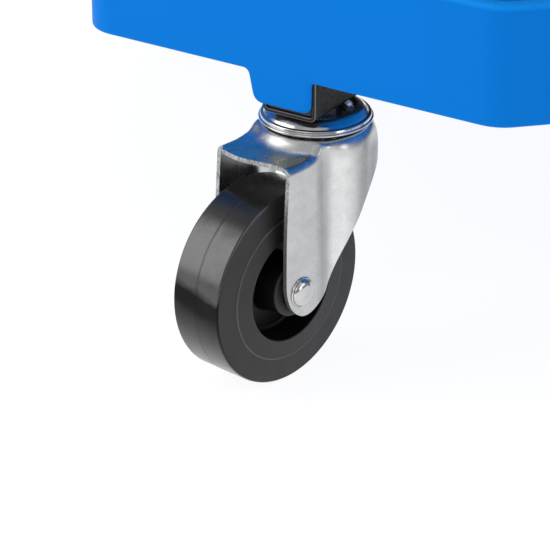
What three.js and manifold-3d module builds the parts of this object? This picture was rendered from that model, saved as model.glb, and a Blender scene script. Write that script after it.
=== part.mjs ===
// Workshop creeper seat: padded seat on four legs, moulded tool tray, square-tube cross base and four swivel casters.
// Millimetres, +Z up, X right, Y to the back. Origin on the floor, at the centre of the base.
import * as THREE from "three";
import { mergeVertices } from "three/addons/utils/BufferGeometryUtils.js";
import Module from "manifold-3d";

// ---------------------------------------------------------------- driving dimensions
const GAP = 0.3; // clearance kept between neighbouring pieces

const WHEEL_R = 37.5; // 75 mm wheel
const WHEEL_W = 22; // tread width
const WHEEL_SIDES = 32;
const HUB_SIDES = 24;
const TYRE_INNER_R = 28.2;
const HUB_RECESS_R = 20.5;
const HUB_BOSS_R = 10.5;
const HUB_BOSS_HALF = 14.5;
const HUB_RAISE = 1.2; // the core's side ring stands a little proud of the tyre
const HUB_LIP = 1.9; // and a little more at the edge of the recess
const TRAIL = 26.7; // swivel axis to wheel axle, level
const RIVET_R = 4;
const RIVET_HEAD_R = 5.8;
const SHEET = 2; // fork sheet
const FORK_HALF = 18; // outside of a fork leg from the wheel's mid plane
const FORK_TOP = 87.8;
const FORK_SHOULDER_R = 23.2;
const SEAT_RISE = 3.7; // raised round seat of the fork
const STEM_R = 5;
const CAP_TOP = 98.7;
// trail direction of each free caster, degrees: front left, front right, rear right, rear left
const CASTER_YAWS = [-145.3, -55.3, 34.7, 75];

const TUBE = 22; // square base tube
const TUBE_WALL = 1.5;
const TUBE_CORNER = 2;
const TUBE_Z0 = 100.5; // underside of the base tubes

const TRAY_HALF = 226; // tray half size across the flats
const TRAY_CHAMFER = 172.5; // length of each corner face
const TRAY_WAIST = 10; // how far the left and right sides draw in behind the corners
const WAIST_HALF = 52; // half length of the drawn-in part
const TRAY_WALL = 2.5;
const TRAY_Z0 = 115.4; // skirt's lower edge
const TRAY_RIM = 160.8;
const TRAY_FLOOR_Z0 = TUBE_Z0 + TUBE + GAP;
const TRAY_FLOOR_T = 3.7;
const RIB_T = 3;
const RIB_TOP = 150;
const RIB_X = 58; // ribs beside each side bin
const RING_HALF = 64; // half size of the centre bin's wall, at mid thickness
const TAB_Z0 = 103.1; // lower edge of the tab over each tube end
const TAB_SHIFT = -2.4; // the tab sits a little to one side of the tube's middle

const CHAMFER_D = Math.SQRT2 * TRAY_HALF - TRAY_CHAMFER / 2; // corner face from the centre
const SWIVEL_D = CHAMFER_D - 20; // swivel axis from the centre
const TUBE_END_D = SWIVEL_D + 20 - TRAY_WALL - GAP;

const LEG = 20; // square leg tube
const LEG_D = 118; // leg axis from the centre, along a diagonal
const LEG_FOOT_T = 3;
const LEG_BOLT_R = 4;
const SEAT_PLATE_Z0 = 318;
const SEAT_PLATE_T = 3;
const SEAT_PLATE_HALF = 125;
const SCREW_D = 90; // seat screw from the centre, along a diagonal
const SCREW_R = 3;
const BOARD_HALF = 172;
const BOARD_T = 12;
const SEAT_HALF = 178;
const SEAT_CORNER = 46;
const SEAT_TOP = 392;
const COVER_T = 1.6;

// ---------------------------------------------------------------- solids
const wasm = await Module();
wasm.setup();

function solid(geometry, matrix) {
  const g = geometry.index ? geometry.toNonIndexed() : geometry.clone();
  const p = new THREE.BufferGeometry().setAttribute(
    "position",
    g.getAttribute("position"),
  );
  if (matrix) p.applyMatrix4(matrix);
  const m = mergeVertices(p, 1e-4);
  return new wasm.Manifold(
    new wasm.Mesh({
      numProp: 3,
      vertProperties: m.attributes.position.array,
      triVerts: new Uint32Array(m.index.array),
    }),
  );
}

function geometryOf(s) {
  const m = s.getMesh();
  const pos = new Float32Array(m.numVert * 3);
  for (let i = 0; i < m.numVert; i++)
    pos.set(m.vertProperties.subarray(i * m.numProp, i * m.numProp + 3), i * 3);
  return new THREE.BufferGeometry()
    .setAttribute("position", new THREE.BufferAttribute(pos, 3))
    .setIndex(new THREE.BufferAttribute(new Uint32Array(m.triVerts), 1));
}

const move = (x, y, z) => new THREE.Matrix4().makeTranslation(x, y, z);
const turnZ = (deg) =>
  new THREE.Matrix4().makeRotationZ(THREE.MathUtils.degToRad(deg));
const chain = (...ms) =>
  ms.reduce((a, m) => a.multiply(m), new THREE.Matrix4());

// an outline in X and Y, raised from z0 to z1
function prism(outline, z0, z1, holes = []) {
  const shape = new THREE.Shape(outline.map((p) => new THREE.Vector2(...p)));
  for (const h of holes)
    shape.holes.push(new THREE.Path(h.map((p) => new THREE.Vector2(...p))));
  const g = new THREE.ExtrudeGeometry(shape, {
    depth: z1 - z0,
    bevelEnabled: false,
    curveSegments: 1,
  });
  g.translate(0, 0, z0);
  return solid(g);
}

// an outline in X and Z, raised along Y from y0 to y1
function prismXZ(outline, y0, y1) {
  const shape = new THREE.Shape(outline.map((p) => new THREE.Vector2(...p)));
  const g = new THREE.ExtrudeGeometry(shape, {
    depth: y1 - y0,
    bevelEnabled: false,
    curveSegments: 1,
  });
  g.rotateX(Math.PI / 2); // shape Y becomes Z, depth runs to -Y
  g.translate(0, y1, 0);
  return solid(g);
}

// a closed profile of [radius, height] pairs turned about Z
function turned(profile, segments, start = 0) {
  const closed = [...profile, profile[0]];
  const points = closed.map((p) => new THREE.Vector2(Math.max(p[0], 0), p[1]));
  const onAxis = profile[0][0] === 0;
  const g = new THREE.LatheGeometry(
    onAxis ? points.slice(0, -1) : points,
    segments,
    start,
  );
  g.rotateX(Math.PI / 2);
  let s = solid(g);
  if (s.volume() < 0) {
    const r = new THREE.LatheGeometry(
      (onAxis ? points.slice(0, -1) : points).reverse(),
      segments,
      start,
    );
    r.rotateX(Math.PI / 2);
    s = solid(r);
  }
  return s;
}

function rod(r, z0, z1, segments = 16) {
  const g = new THREE.CylinderGeometry(r, r, z1 - z0, segments);
  g.rotateX(Math.PI / 2);
  g.translate(0, 0, (z0 + z1) / 2);
  return solid(g);
}

function hexPrism(flats, z0, z1) {
  return rod(flats / 2 / Math.cos(Math.PI / 6), z0, z1, 6);
}

function box(x0, x1, y0, y1, z0, z1) {
  const g = new THREE.BoxGeometry(x1 - x0, y1 - y0, z1 - z0);
  g.translate((x0 + x1) / 2, (y0 + y1) / 2, (z0 + z1) / 2);
  return solid(g);
}

const placed = (s, matrix) => solid(geometryOf(s), matrix);

// rounds the corners of a polygon, counter-clockwise
function rounded(points, radius, steps) {
  const out = [];
  const n = points.length;
  for (let i = 0; i < n; i++) {
    const p = new THREE.Vector2(...points[i]);
    const a = new THREE.Vector2(...points[(i + n - 1) % n]).sub(p).normalize();
    const b = new THREE.Vector2(...points[(i + 1) % n]).sub(p).normalize();
    const half = Math.acos(THREE.MathUtils.clamp(a.dot(b), -1, 1)) / 2;
    const r = Array.isArray(radius) ? radius[i] : radius;
    const d = r / Math.tan(half);
    const c = p.clone().add(
      a
        .clone()
        .add(b)
        .normalize()
        .multiplyScalar(r / Math.sin(half)),
    );
    const s = p.clone().addScaledVector(a, d).sub(c);
    const e = p.clone().addScaledVector(b, d).sub(c);
    const a0 = Math.atan2(s.y, s.x);
    let sweep = Math.atan2(e.y, e.x) - a0;
    while (sweep > Math.PI) sweep -= 2 * Math.PI;
    while (sweep < -Math.PI) sweep += 2 * Math.PI;
    for (let k = 0; k <= steps; k++) {
      const t = a0 + (sweep * k) / steps;
      out.push([c.x + r * Math.cos(t), c.y + r * Math.sin(t)]);
    }
  }
  return out;
}

const square = (h, r, steps = 3) =>
  rounded(
    [
      [-h, -h],
      [h, -h],
      [h, h],
      [-h, h],
    ],
    r,
    steps,
  );

// moves every side of a polygon inwards
function insetPolygon(points, d) {
  const n = points.length;
  const lines = points.map((p, i) => {
    const q = points[(i + 1) % n];
    const l = Math.hypot(q[0] - p[0], q[1] - p[1]);
    const nx = (q[1] - p[1]) / l;
    const ny = -(q[0] - p[0]) / l;
    return [nx, ny, nx * p[0] + ny * p[1] - d];
  });
  return points.map((_, i) => {
    const [a, b, c] = lines[(i + n - 1) % n];
    const [e, f, g] = lines[i];
    const det = a * f - b * e;
    return [(c * f - b * g) / det, (a * g - c * e) / det];
  });
}

function trayOutline(inset, radius, steps) {
  const h = TRAY_HALF;
  const k = Math.SQRT2 * CHAMFER_D - h; // where a flat ends
  const w = h - TRAY_WAIST;
  const m = WAIST_HALF;
  const waist = 40 + inset;
  return rounded(
    insetPolygon(
      [
        [-k, -h],
        [k, -h],
        [h, -k],
        [w, -m],
        [w, m],
        [h, k],
        [k, h],
        [-k, h],
        [-h, k],
        [-w, m],
        [-w, -m],
        [-h, -k],
      ],
      inset,
    ),
    [radius, radius, radius, waist, waist, radius, radius, radius, radius, waist, waist, radius],
    steps,
  );
}

// ---------------------------------------------------------------- materials
const paint = (color, roughness, metalness) => () =>
  new THREE.MeshStandardMaterial({ color, roughness, metalness });
const zinc = paint(0xc4c8cc, 0.32, 0.95);
const blackSteel = paint(0x16151a, 0.55, 0.2);
const bluePlastic = paint(0x0a7de1, 0.42, 0);
const blackPlastic = paint(0x111114, 0.5, 0);
const rubber = paint(0x1d1d1f, 0.38, 0);
const vinyl = paint(0x17181b, 0.5, 0);
const plywood = paint(0xc19a63, 0.7, 0);
const foamYellow = paint(0xd9cf9a, 0.95, 0);
const ballSteel = paint(0x9a9da2, 0.25, 1);

const seat = new THREE.Group();
seat.name = "creeper_seat";

function add(group, name, s, material) {
  const mesh = new THREE.Mesh(geometryOf(s), material());
  mesh.name = name;
  group.add(mesh);
  return mesh;
}

// ---------------------------------------------------------------- caster
// Own frame: swivel axis along Z, X from the swivel to the wheel, Y along the axle.
function forkPlan(offset) {
  const r = FORK_SHOULDER_R - offset;
  const w = FORK_HALF - offset;
  const side = [
    [TRAIL + (offset ? 20 : 10.4), w],
    [17, w],
    [13, w + 0.35],
    [9, w + 1.7],
    [5.2, w + 3.5],
    [1.5, r - 0.6],
  ];
  const back = [];
  const steps = 8;
  for (let k = 0; k <= steps; k++) {
    const t = THREE.MathUtils.degToRad(96 + (168 * k) / steps);
    back.push([r * Math.cos(t), r * Math.sin(t)]);
  }
  const other = side.map(([x, y]) => [x, -y]).reverse();
  return [...side, ...back, ...other];
}

const forkFront = [
  // the plate's front edge in plan, a little fuller on one side
  [TRAIL + 7.4, -24],
  [TRAIL + 7.6, -18],
  [TRAIL + 9.6, -10.8],
  [TRAIL + 10.2, -4.4],
  [TRAIL + 10, 0.4],
  [TRAIL + 7.8, 7.5],
  [TRAIL + 6.5, 13],
  [TRAIL + 6.6, 24],
  [TRAIL + 20, 24],
  [TRAIL + 20, -24],
].reverse();

const forkProfile = [
  // seen from the side, X and Z
  [TRAIL + 12, FORK_TOP + 1],
  [TRAIL + 12, FORK_TOP - 3.4],
  [TRAIL + 7, FORK_TOP - 3.4],
  [TRAIL + 7.7, 60],
  [TRAIL + 8.3, 42.6],
  [TRAIL + 7.4, 36.4],
  [TRAIL + 5.4, 32],
  [TRAIL + 2.4, 28.9],
  [TRAIL - 1, 27.3],
  [TRAIL - 4.4, 27.6],
  [TRAIL - 9.2, 29],
  [TRAIL - 13.4, 33],
  [TRAIL - 17.6, 39.6],
  [TRAIL - 22.6, 46.8],
  [TRAIL - 29.2, 53.2],
  [TRAIL - 36, 58],
  [TRAIL - 44, 62],
  [TRAIL - 50, 66],
  [TRAIL - 56, 68],
  [TRAIL - 56, FORK_TOP + 1],
].reverse();

function forkSolid() {
  const wall = prism(forkPlan(0), 20, FORK_TOP).subtract(
    prism(forkPlan(SHEET), 19, FORK_TOP - SHEET),
  );
  let f = wall
    .intersect(prismXZ(forkProfile, -40, 40))
    .subtract(prism(forkFront, FORK_TOP - 3.4, FORK_TOP + 2));
  const z = FORK_TOP;
  const raised = turned(
    [
      [STEM_R + GAP + 0.1, z - 0.5],
      [27, z - 0.5],
      [26.4, z + 0.3],
      [22.6, z + 1.8],
      [20.6, z + SEAT_RISE],
      [STEM_R + GAP + 0.1, z + SEAT_RISE],
    ],
    24,
  );
  f = f.add(raised.intersect(prism(forkPlan(0.4), z - 1, z + 6)));
  f = f.subtract(rod(STEM_R + GAP + 0.1, z - 5, z + 5, 12));
  const hole = new THREE.CylinderGeometry(RIVET_R + GAP, RIVET_R + GAP, 60, 14);
  hole.translate(TRAIL, 0, 0);
  const h = solid(hole, move(0, 0, WHEEL_R));
  return f.subtract(h);
}

function capSolid() {
  const t = CAP_TOP;
  return turned(
    [
      [STEM_R + GAP + 0.2, t - 5.7],
      [12.9, t - 5.7],
      [15.4, t - 3.5],
      [18, t - 3.5],
      [19.2, t - 5.7],
      [21, t - 5.7],
      [21.3, t - 4.9],
      [20.8, t - 4.1],
      [19.6, t - 2.8],
      [18, t - 1.1],
      [15.4, t],
      [13.4, t - 1],
      [12.3, t - 4.2],
      [STEM_R + GAP + 0.2, t - 4.2],
    ],
    20,
  );
}

function ballRaceSolid() {
  const c = [16.9, FORK_TOP + SEAT_RISE + 1.9];
  const profile = [];
  for (let k = 0; k < 4; k++) {
    const a = (k * Math.PI) / 2;
    profile.push([c[0] + 1.3 * Math.cos(a), c[1] + 1.3 * Math.sin(a)]);
  }
  return turned(profile, 14);
}

function stemSolid() {
  const top = TUBE_Z0 + TUBE_WALL + 14;
  const shaft = turned(
    [
      [0, FORK_TOP - SHEET - 4.2],
      [5.2, FORK_TOP - SHEET - 4.2],
      [8, FORK_TOP - SHEET - 2.4],
      [8, FORK_TOP - SHEET - GAP],
      [STEM_R, FORK_TOP - SHEET - GAP],
      [STEM_R, top - 1.2],
      [STEM_R - 1.2, top],
      [0, top],
    ],
    12,
  );
  return shaft.add(hexPrism(17, CAP_TOP - 3.9, TUBE_Z0 - GAP));
}

function stemNutSolid() {
  const z0 = TUBE_Z0 + TUBE_WALL + GAP;
  return hexPrism(15, z0, z0 + 8).subtract(
    rod(STEM_R + GAP + 0.2, z0 - 1, z0 + 9, 12),
  );
}

// pieces turned about the axle: built about Z, then laid along Y
const ontoAxle = chain(
  move(TRAIL, 0, WHEEL_R),
  new THREE.Matrix4().makeRotationX(-Math.PI / 2),
);

function tyreSolid() {
  const n = WHEEL_SIDES;
  const k = 1 / Math.cos(Math.PI / n); // flats of the facets lie on the true radius
  const h = WHEEL_W / 2;
  const R = WHEEL_R * k;
  return placed(
    turned(
      [
        [TYRE_INNER_R * k, -h],
        [R - 1.1, -h],
        [R, -h + 1.1],
        [R, h - 1.1],
        [R - 1.1, h],
        [TYRE_INNER_R * k, h],
      ],
      n,
      Math.PI / n,
    ),
    ontoAxle,
  );
}

function hubSolid() {
  const n = HUB_SIDES;
  const R = TYRE_INNER_R - GAP;
  const h = WHEEL_W / 2 + HUB_RAISE;
  const half = [
    [HUB_BOSS_R - 4, -HUB_BOSS_HALF],
    [HUB_BOSS_R, -HUB_BOSS_HALF],
    [HUB_BOSS_R, -2.2],
    [HUB_RECESS_R, -2.2],
    [HUB_RECESS_R, -h + HUB_RAISE - HUB_LIP],
    [R, -h],
  ];
  return placed(
    turned([...half, ...half.map(([r, z]) => [r, -z]).reverse()], n, Math.PI / n),
    ontoAxle,
  );
}

function sleeveSolid() {
  const l = FORK_HALF - SHEET - GAP;
  return placed(
    turned(
      [
        [RIVET_R + GAP, -l],
        [HUB_BOSS_R - 4.4, -l],
        [HUB_BOSS_R - 4.4, l],
        [RIVET_R + GAP, l],
      ],
      12,
    ),
    ontoAxle,
  );
}

function rivetSolid() {
  const a = FORK_HALF + GAP;
  return placed(
    turned(
      [
        [0, -a - 2],
        [RIVET_HEAD_R - 0.4, -a - 0.9],
        [RIVET_HEAD_R - 0.4, -a],
        [RIVET_R - 0.1, -a],
        [RIVET_R - 0.1, a],
        [RIVET_HEAD_R, a],
        [RIVET_HEAD_R, a + 0.5],
        [4, a + 2.1],
        [0, a + 2.9],
      ],
      12,
    ),
    ontoAxle,
  );
}

const corners = ["front_left", "front_right", "rear_right", "rear_left"];
const casterPieces = [
  ["cap", capSolid(), zinc],
  ["stem", stemSolid(), zinc],
  ["stem_nut", stemNutSolid(), zinc],
  ["ball_race", ballRaceSolid(), ballSteel],
  ["fork", forkSolid(), zinc],
  ["axle_rivet", rivetSolid(), zinc],
  ["axle_sleeve", sleeveSolid(), ballSteel],
  ["wheel_hub", hubSolid(), blackPlastic],
  ["wheel_tyre", tyreSolid(), rubber],
];
corners.forEach((corner, i) => {
  const g = new THREE.Group();
  const a = THREE.MathUtils.degToRad(225 + 90 * i);
  g.position.set(SWIVEL_D * Math.cos(a), SWIVEL_D * Math.sin(a), 0);
  g.rotation.z = THREE.MathUtils.degToRad(CASTER_YAWS[i]);
  for (const [name, s, material] of casterPieces)
    add(g, `caster_${corner}_${name}`, s, material);
  seat.add(g);
});

// ---------------------------------------------------------------- base cross
// a square tube along X from x0 to x1, its underside at TUBE_Z0
function tubeSolid(x0, x1, size, wall, corner, z0) {
  const h = size / 2;
  const g = new THREE.ExtrudeGeometry(
    (() => {
      const s = new THREE.Shape(
        square(h, corner, 2).map((p) => new THREE.Vector2(...p)),
      );
      s.holes.push(
        new THREE.Path(
          square(h - wall, Math.max(corner - wall, 0.6), 1).map(
            (p) => new THREE.Vector2(...p),
          ),
        ),
      );
      return s;
    })(),
    { depth: x1 - x0, bevelEnabled: false, curveSegments: 1 },
  );
  g.rotateY(Math.PI / 2);
  g.translate(x0, 0, z0 + h);
  return solid(g);
}

function drilled(s, stems, bolts) {
  for (const x of stems)
    s = s.subtract(
      placed(rod(STEM_R + GAP + 0.1, TUBE_Z0 - 2, TUBE_Z0 + 4, 12), move(x, 0, 0)),
    );
  for (const x of bolts)
    s = s.subtract(
      placed(
        rod(LEG_BOLT_R + GAP + 0.1, TUBE_Z0 - 2, TUBE_Z0 + TUBE + 2, 10),
        move(x, 0, 0),
      ),
    );
  return s;
}

const longTube = drilled(
  tubeSolid(-TUBE_END_D, TUBE_END_D, TUBE, TUBE_WALL, TUBE_CORNER, TUBE_Z0),
  [-SWIVEL_D, SWIVEL_D],
  [-LEG_D, LEG_D],
);
const shortTube = drilled(
  tubeSolid(
    TUBE / 2 + GAP,
    TUBE_END_D,
    TUBE,
    TUBE_WALL,
    TUBE_CORNER,
    TUBE_Z0,
  ),
  [SWIVEL_D],
  [LEG_D],
);
const base = new THREE.Group();
const t1 = add(base, "base_tube_long", longTube, blackSteel);
t1.rotation.z = THREE.MathUtils.degToRad(45);
const t2 = add(base, "base_tube_short_right", shortTube, blackSteel);
t2.rotation.z = THREE.MathUtils.degToRad(-45);
const t3 = add(base, "base_tube_short_left", shortTube, blackSteel);
t3.rotation.z = THREE.MathUtils.degToRad(135);

// end plug, pushed in until its face is just inside the tube's end
const plugH = TUBE / 2 - TUBE_WALL - GAP;
const plug = (() => {
  const g = new THREE.ExtrudeGeometry(
    new THREE.Shape(square(plugH, 1.2, 2).map((p) => new THREE.Vector2(...p))),
    { depth: 6.6, bevelEnabled: false, curveSegments: 1 },
  );
  g.rotateY(Math.PI / 2);
  g.translate(TUBE_END_D - 7.4, 0, TUBE_Z0 + TUBE / 2);
  return solid(g);
})();
corners.forEach((corner, i) => {
  const m = add(base, `tube_plug_${corner}`, plug, blackPlastic);
  m.rotation.z = THREE.MathUtils.degToRad(225 + 90 * i);
});
seat.add(base);

// ---------------------------------------------------------------- tool tray
function tabOutline() {
  // across the corner face and up
  const half = [
    [16.4, TRAY_Z0 + 2],
    [16.2, TRAY_Z0 - 0.1],
    [15, TRAY_Z0 - 0.6],
    [14.2, TRAY_Z0 - 2],
    [13.6, TRAY_Z0 - 5],
    [12.8, TAB_Z0 + 3],
    [11.7, TAB_Z0 + 0.9],
    [9.7, TAB_Z0],
  ];
  return [...half.map(([x, z]) => [-x, z]), ...half.reverse()].map(
    ([x, z]) => [x + TAB_SHIFT, z],
  );
}

function traySolid() {
  const floor1 = TRAY_FLOOR_Z0 + TRAY_FLOOR_T;
  let t = prism(trayOutline(0, 16, 3), TRAY_Z0, TRAY_RIM)
    .subtract(prism(trayOutline(TRAY_WALL, 13, 3), floor1, TRAY_RIM + 5))
    .subtract(
      prism(trayOutline(TRAY_WALL, 13, 3), TRAY_Z0 - 5, TRAY_FLOOR_Z0),
    );
  const r = RIB_T / 2;
  const z0 = floor1 - 1;
  const k = RING_HALF;
  const reach = TRAY_HALF - TRAY_WALL / 2;
  const reachX = TRAY_HALF - TRAY_WAIST - 0.2;
  const ribs = [
    box(-k - r, k + r, -k - r, -k + r, z0, RIB_TOP),
    box(-k - r, k + r, k - r, k + r, z0, RIB_TOP),
    box(-k - r, -k + r, -k - r, k + r, z0, RIB_TOP),
    box(k - r, k + r, -k - r, k + r, z0, RIB_TOP),
  ];
  for (const s of [-1, 1]) {
    const x0 = s * RIB_X - r;
    const x1 = s * RIB_X + r;
    ribs.push(box(x0, x1, -reach, -k, z0, RIB_TOP));
    ribs.push(box(x0, x1, k, reach, z0, RIB_TOP));
    ribs.push(box(-reachX, -k, x0, x1, z0, RIB_TOP));
    ribs.push(box(k, reachX, x0, x1, z0, RIB_TOP));
  }
  for (const s of ribs) t = t.add(s);
  for (let i = 0; i < 4; i++) {
    // the tab's face is flush with the corner face
    const tab = placed(
      prismXZ(tabOutline(), -CHAMFER_D, -CHAMFER_D + TRAY_WALL),
      turnZ(-45 + 90 * i),
    );
    t = t.add(tab);
    const hole = placed(
      rod(LEG_BOLT_R + GAP + 0.1, TRAY_FLOOR_Z0 - 2, floor1 + 2, 10),
      chain(turnZ(45 + 90 * i), move(LEG_D, 0, 0)),
    );
    t = t.subtract(hole);
  }
  return t;
}
add(seat, "tool_tray", traySolid(), bluePlastic);

// ---------------------------------------------------------------- legs
// Own frame: X outward along the diagonal.
const legZ0 = TRAY_FLOOR_Z0 + TRAY_FLOOR_T + GAP;
const legZ1 = SEAT_PLATE_Z0 - GAP;
const legSolid = (() => {
  const foot = prism(
    rounded(
      [
        [LEG_D - 20, -15],
        [LEG_D + 20, -15],
        [LEG_D + 20, 15],
        [LEG_D - 20, 15],
      ],
      4,
      1,
    ),
    legZ0,
    legZ0 + LEG_FOOT_T,
  );
  const top = prism(
    rounded(
      [
        [SCREW_D - 12, -15],
        [LEG_D + 13, -15],
        [LEG_D + 13, 15],
        [SCREW_D - 12, 15],
      ],
      4,
      1,
    ),
    legZ1 - LEG_FOOT_T,
    legZ1,
  );
  const wall = TUBE_WALL;
  const outer = square(LEG / 2, 2, 2).map(([x, y]) => [x + LEG_D, y]);
  const inner = square(LEG / 2 - wall, 0.8, 1).map(([x, y]) => [x + LEG_D, y]);
  const tube = prism(outer, legZ0 + 1, legZ1 - 1).subtract(
    prism(inner, legZ0 + LEG_FOOT_T, legZ1 - LEG_FOOT_T),
  );
  return foot
    .add(top)
    .add(tube)
    .subtract(
      placed(
        rod(LEG_BOLT_R + GAP + 0.1, legZ0 - 2, legZ0 + LEG_FOOT_T + 2, 10),
        move(LEG_D, 0, 0),
      ),
    )
    .subtract(
      placed(
        rod(SCREW_R + GAP + 0.1, legZ1 - LEG_FOOT_T - 2, legZ1 + 2, 10),
        move(SCREW_D, 0, 0),
      ),
    );
})();

const legBolt = (() => {
  const head0 = TUBE_Z0 - GAP - 5.3;
  return placed(
    hexPrism(13, head0, TUBE_Z0 - GAP).add(
      rod(LEG_BOLT_R, TUBE_Z0 - GAP - 1, legZ0 + 16, 10),
    ),
    move(LEG_D, 0, 0),
  );
})();

const seatScrew = (() => {
  const head1 = legZ1 - LEG_FOOT_T - GAP;
  return placed(
    hexPrism(10, head1 - 4, head1).add(
      rod(SCREW_R, head1 - 1, SEAT_PLATE_Z0 + SEAT_PLATE_T + GAP + 9, 10),
    ),
    move(SCREW_D, 0, 0),
  );
})();

corners.forEach((corner, i) => {
  const g = new THREE.Group();
  g.rotation.z = THREE.MathUtils.degToRad(225 + 90 * i);
  add(g, `leg_${corner}`, legSolid, blackSteel);
  add(g, `leg_bolt_${corner}`, legBolt, zinc);
  add(g, `seat_screw_${corner}`, seatScrew, zinc);
  seat.add(g);
});

// ---------------------------------------------------------------- seat
function screwHoles(s, r, z0, z1) {
  for (let i = 0; i < 4; i++)
    s = s.subtract(
      placed(
        rod(r + 0.1, z0, z1, 10),
        chain(turnZ(45 + 90 * i), move(SCREW_D, 0, 0)),
      ),
    );
  return s;
}

const plateZ1 = SEAT_PLATE_Z0 + SEAT_PLATE_T;
const plateOutline = (h, c) =>
  rounded(
    [
      [-h + c, -h],
      [h - c, -h],
      [h, -h + c],
      [h, h - c],
      [h - c, h],
      [-h + c, h],
      [-h, h - c],
      [-h, -h + c],
    ],
    6,
    2,
  );
add(
  seat,
  "seat_plate",
  screwHoles(
    prism(plateOutline(SEAT_PLATE_HALF, 30), SEAT_PLATE_Z0, plateZ1),
    SCREW_R + GAP,
    SEAT_PLATE_Z0 - 2,
    plateZ1 + 2,
  ),
  blackSteel,
);

const boardZ0 = plateZ1 + GAP;
const boardZ1 = boardZ0 + BOARD_T;
add(
  seat,
  "seat_board",
  screwHoles(
    prism(square(BOARD_HALF, SEAT_CORNER - 6, 4), boardZ0, boardZ1),
    SCREW_R + GAP,
    boardZ0 - 2,
    boardZ0 + 10,
  ),
  plywood,
);

// a block with rounded corners, its top edge eased in steps
function pad(half, corner, z0, z1, ease) {
  let s = prism(square(half, corner, 4), z0, z1 - ease);
  const rows = [
    [0.0, 0.0],
    [0.12, 0.5],
    [0.42, 0.85],
    [1.0, 1.0],
  ];
  const rings = rows.map(([inn, up]) =>
    square(half - inn * ease, corner - inn * ease, 4).map(([x, y]) => [
      x,
      y,
      z1 - ease + up * ease,
    ]),
  );
  const n = rings[0].length;
  const pos = [];
  const tri = (a, b, c) => pos.push(...a, ...b, ...c);
  for (let r = 0; r + 1 < rings.length; r++)
    for (let i = 0; i < n; i++) {
      const a = rings[r][i];
      const b = rings[r][(i + 1) % n];
      const c = rings[r + 1][(i + 1) % n];
      const d = rings[r + 1][i];
      tri(a, b, c);
      tri(a, c, d);
    }
  const top = [0, 0, z1];
  const bottom = [0, 0, z0];
  const last = rings[rings.length - 1];
  for (let i = 0; i < n; i++) tri(last[i], last[(i + 1) % n], top);
  const low = rings[0].map(([x, y]) => [x, y, z0]);
  for (let i = 0; i < n; i++) {
    const a = low[i];
    const b = low[(i + 1) % n];
    tri(a, b, rings[0][(i + 1) % n]);
    tri(a, rings[0][(i + 1) % n], rings[0][i]);
    tri(bottom, b, a);
  }
  const g = new THREE.BufferGeometry().setAttribute(
    "position",
    new THREE.Float32BufferAttribute(pos, 3),
  );
  s = solid(g);
  return s;
}

const foamZ0 = boardZ1 + GAP;
const foamZ1 = SEAT_TOP - COVER_T - GAP;
add(
  seat,
  "seat_foam",
  pad(
    SEAT_HALF - COVER_T - GAP,
    SEAT_CORNER - COVER_T - GAP,
    foamZ0,
    foamZ1,
    20,
  ),
  foamYellow,
);

const coverZ0 = boardZ0 - GAP - COVER_T;
add(
  seat,
  "seat_cover",
  pad(SEAT_HALF, SEAT_CORNER, coverZ0, SEAT_TOP, 20)
    .subtract(
      pad(
        SEAT_HALF - COVER_T,
        SEAT_CORNER - COVER_T,
        coverZ0 + COVER_T,
        SEAT_TOP - COVER_T,
        20,
      ),
    )
    .subtract(
      prism(
        square(SEAT_HALF - 34, SEAT_CORNER - 22, 4),
        coverZ0 - 5,
        coverZ0 + COVER_T + 1,
      ),
    ),
  vinyl,
);

export default seat;
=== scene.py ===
"""Looks for the creeper seat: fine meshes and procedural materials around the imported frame.
Working units in the code below are millimetres, turned into metres where an object is made."""

import math

import bmesh
import bpy
import numpy as np
from mathutils import Matrix, Vector, kdtree


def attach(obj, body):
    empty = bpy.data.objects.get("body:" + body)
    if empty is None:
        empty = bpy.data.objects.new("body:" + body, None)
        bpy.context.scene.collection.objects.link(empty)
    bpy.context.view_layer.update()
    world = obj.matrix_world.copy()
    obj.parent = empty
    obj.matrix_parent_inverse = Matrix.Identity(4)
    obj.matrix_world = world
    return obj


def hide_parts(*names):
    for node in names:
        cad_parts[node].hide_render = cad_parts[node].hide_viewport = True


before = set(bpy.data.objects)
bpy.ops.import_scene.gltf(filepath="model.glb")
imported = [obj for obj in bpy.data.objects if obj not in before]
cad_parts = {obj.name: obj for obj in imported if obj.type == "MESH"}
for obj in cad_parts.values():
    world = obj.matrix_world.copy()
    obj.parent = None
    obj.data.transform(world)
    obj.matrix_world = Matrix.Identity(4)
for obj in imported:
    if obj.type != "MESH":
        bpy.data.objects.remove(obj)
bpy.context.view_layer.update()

# ---------------------------------------------------------------- sizes, as in the frame
GAP = 0.3
WHEEL_R = 37.5
WHEEL_W = 22.0
TYRE_INNER_R = 28.2
HUB_RECESS_R = 20.5
HUB_BOSS_R = 10.5
HUB_BOSS_HALF = 14.5
HUB_RAISE = 1.2
HUB_LIP = 1.9
TRAIL = 26.7
RIVET_R = 4.0
RIVET_HEAD_R = 5.8
SHEET = 2.0
FORK_SHEET = 1.7
FORK_HALF = 18.0
FORK_TOP = 87.8
FORK_SHOULDER_R = 22.9
SEAT_RISE = 3.7
STEM_R = 5.0
CAP_TOP = 98.7
CASTER_YAWS = (-145.3, -55.3, 34.7, 75.0)
TUBE = 22.0
TUBE_WALL = 1.5
TUBE_CORNER = 2.6
TUBE_Z0 = 100.5
TUBE_SHOW = 22.8  # the coat and the rounded seam make the tube look a little larger
TUBE_SHOW_Z0 = 99.8
TRAY_HALF = 226.0
TRAY_CHAMFER = 172.5
TRAY_WALL = 2.5
TRAY_CORNER_R = 16.0
WAIST_CORNER_R = 15.0
TRAY_WAIST = 11.5  # how far the left and right sides draw in between their corners
TRAY_Z0 = 115.4
TRAY_RIM = 160.8
FLOOR_Z0 = TUBE_Z0 + TUBE + GAP
FLOOR_T = 3.7
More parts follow.
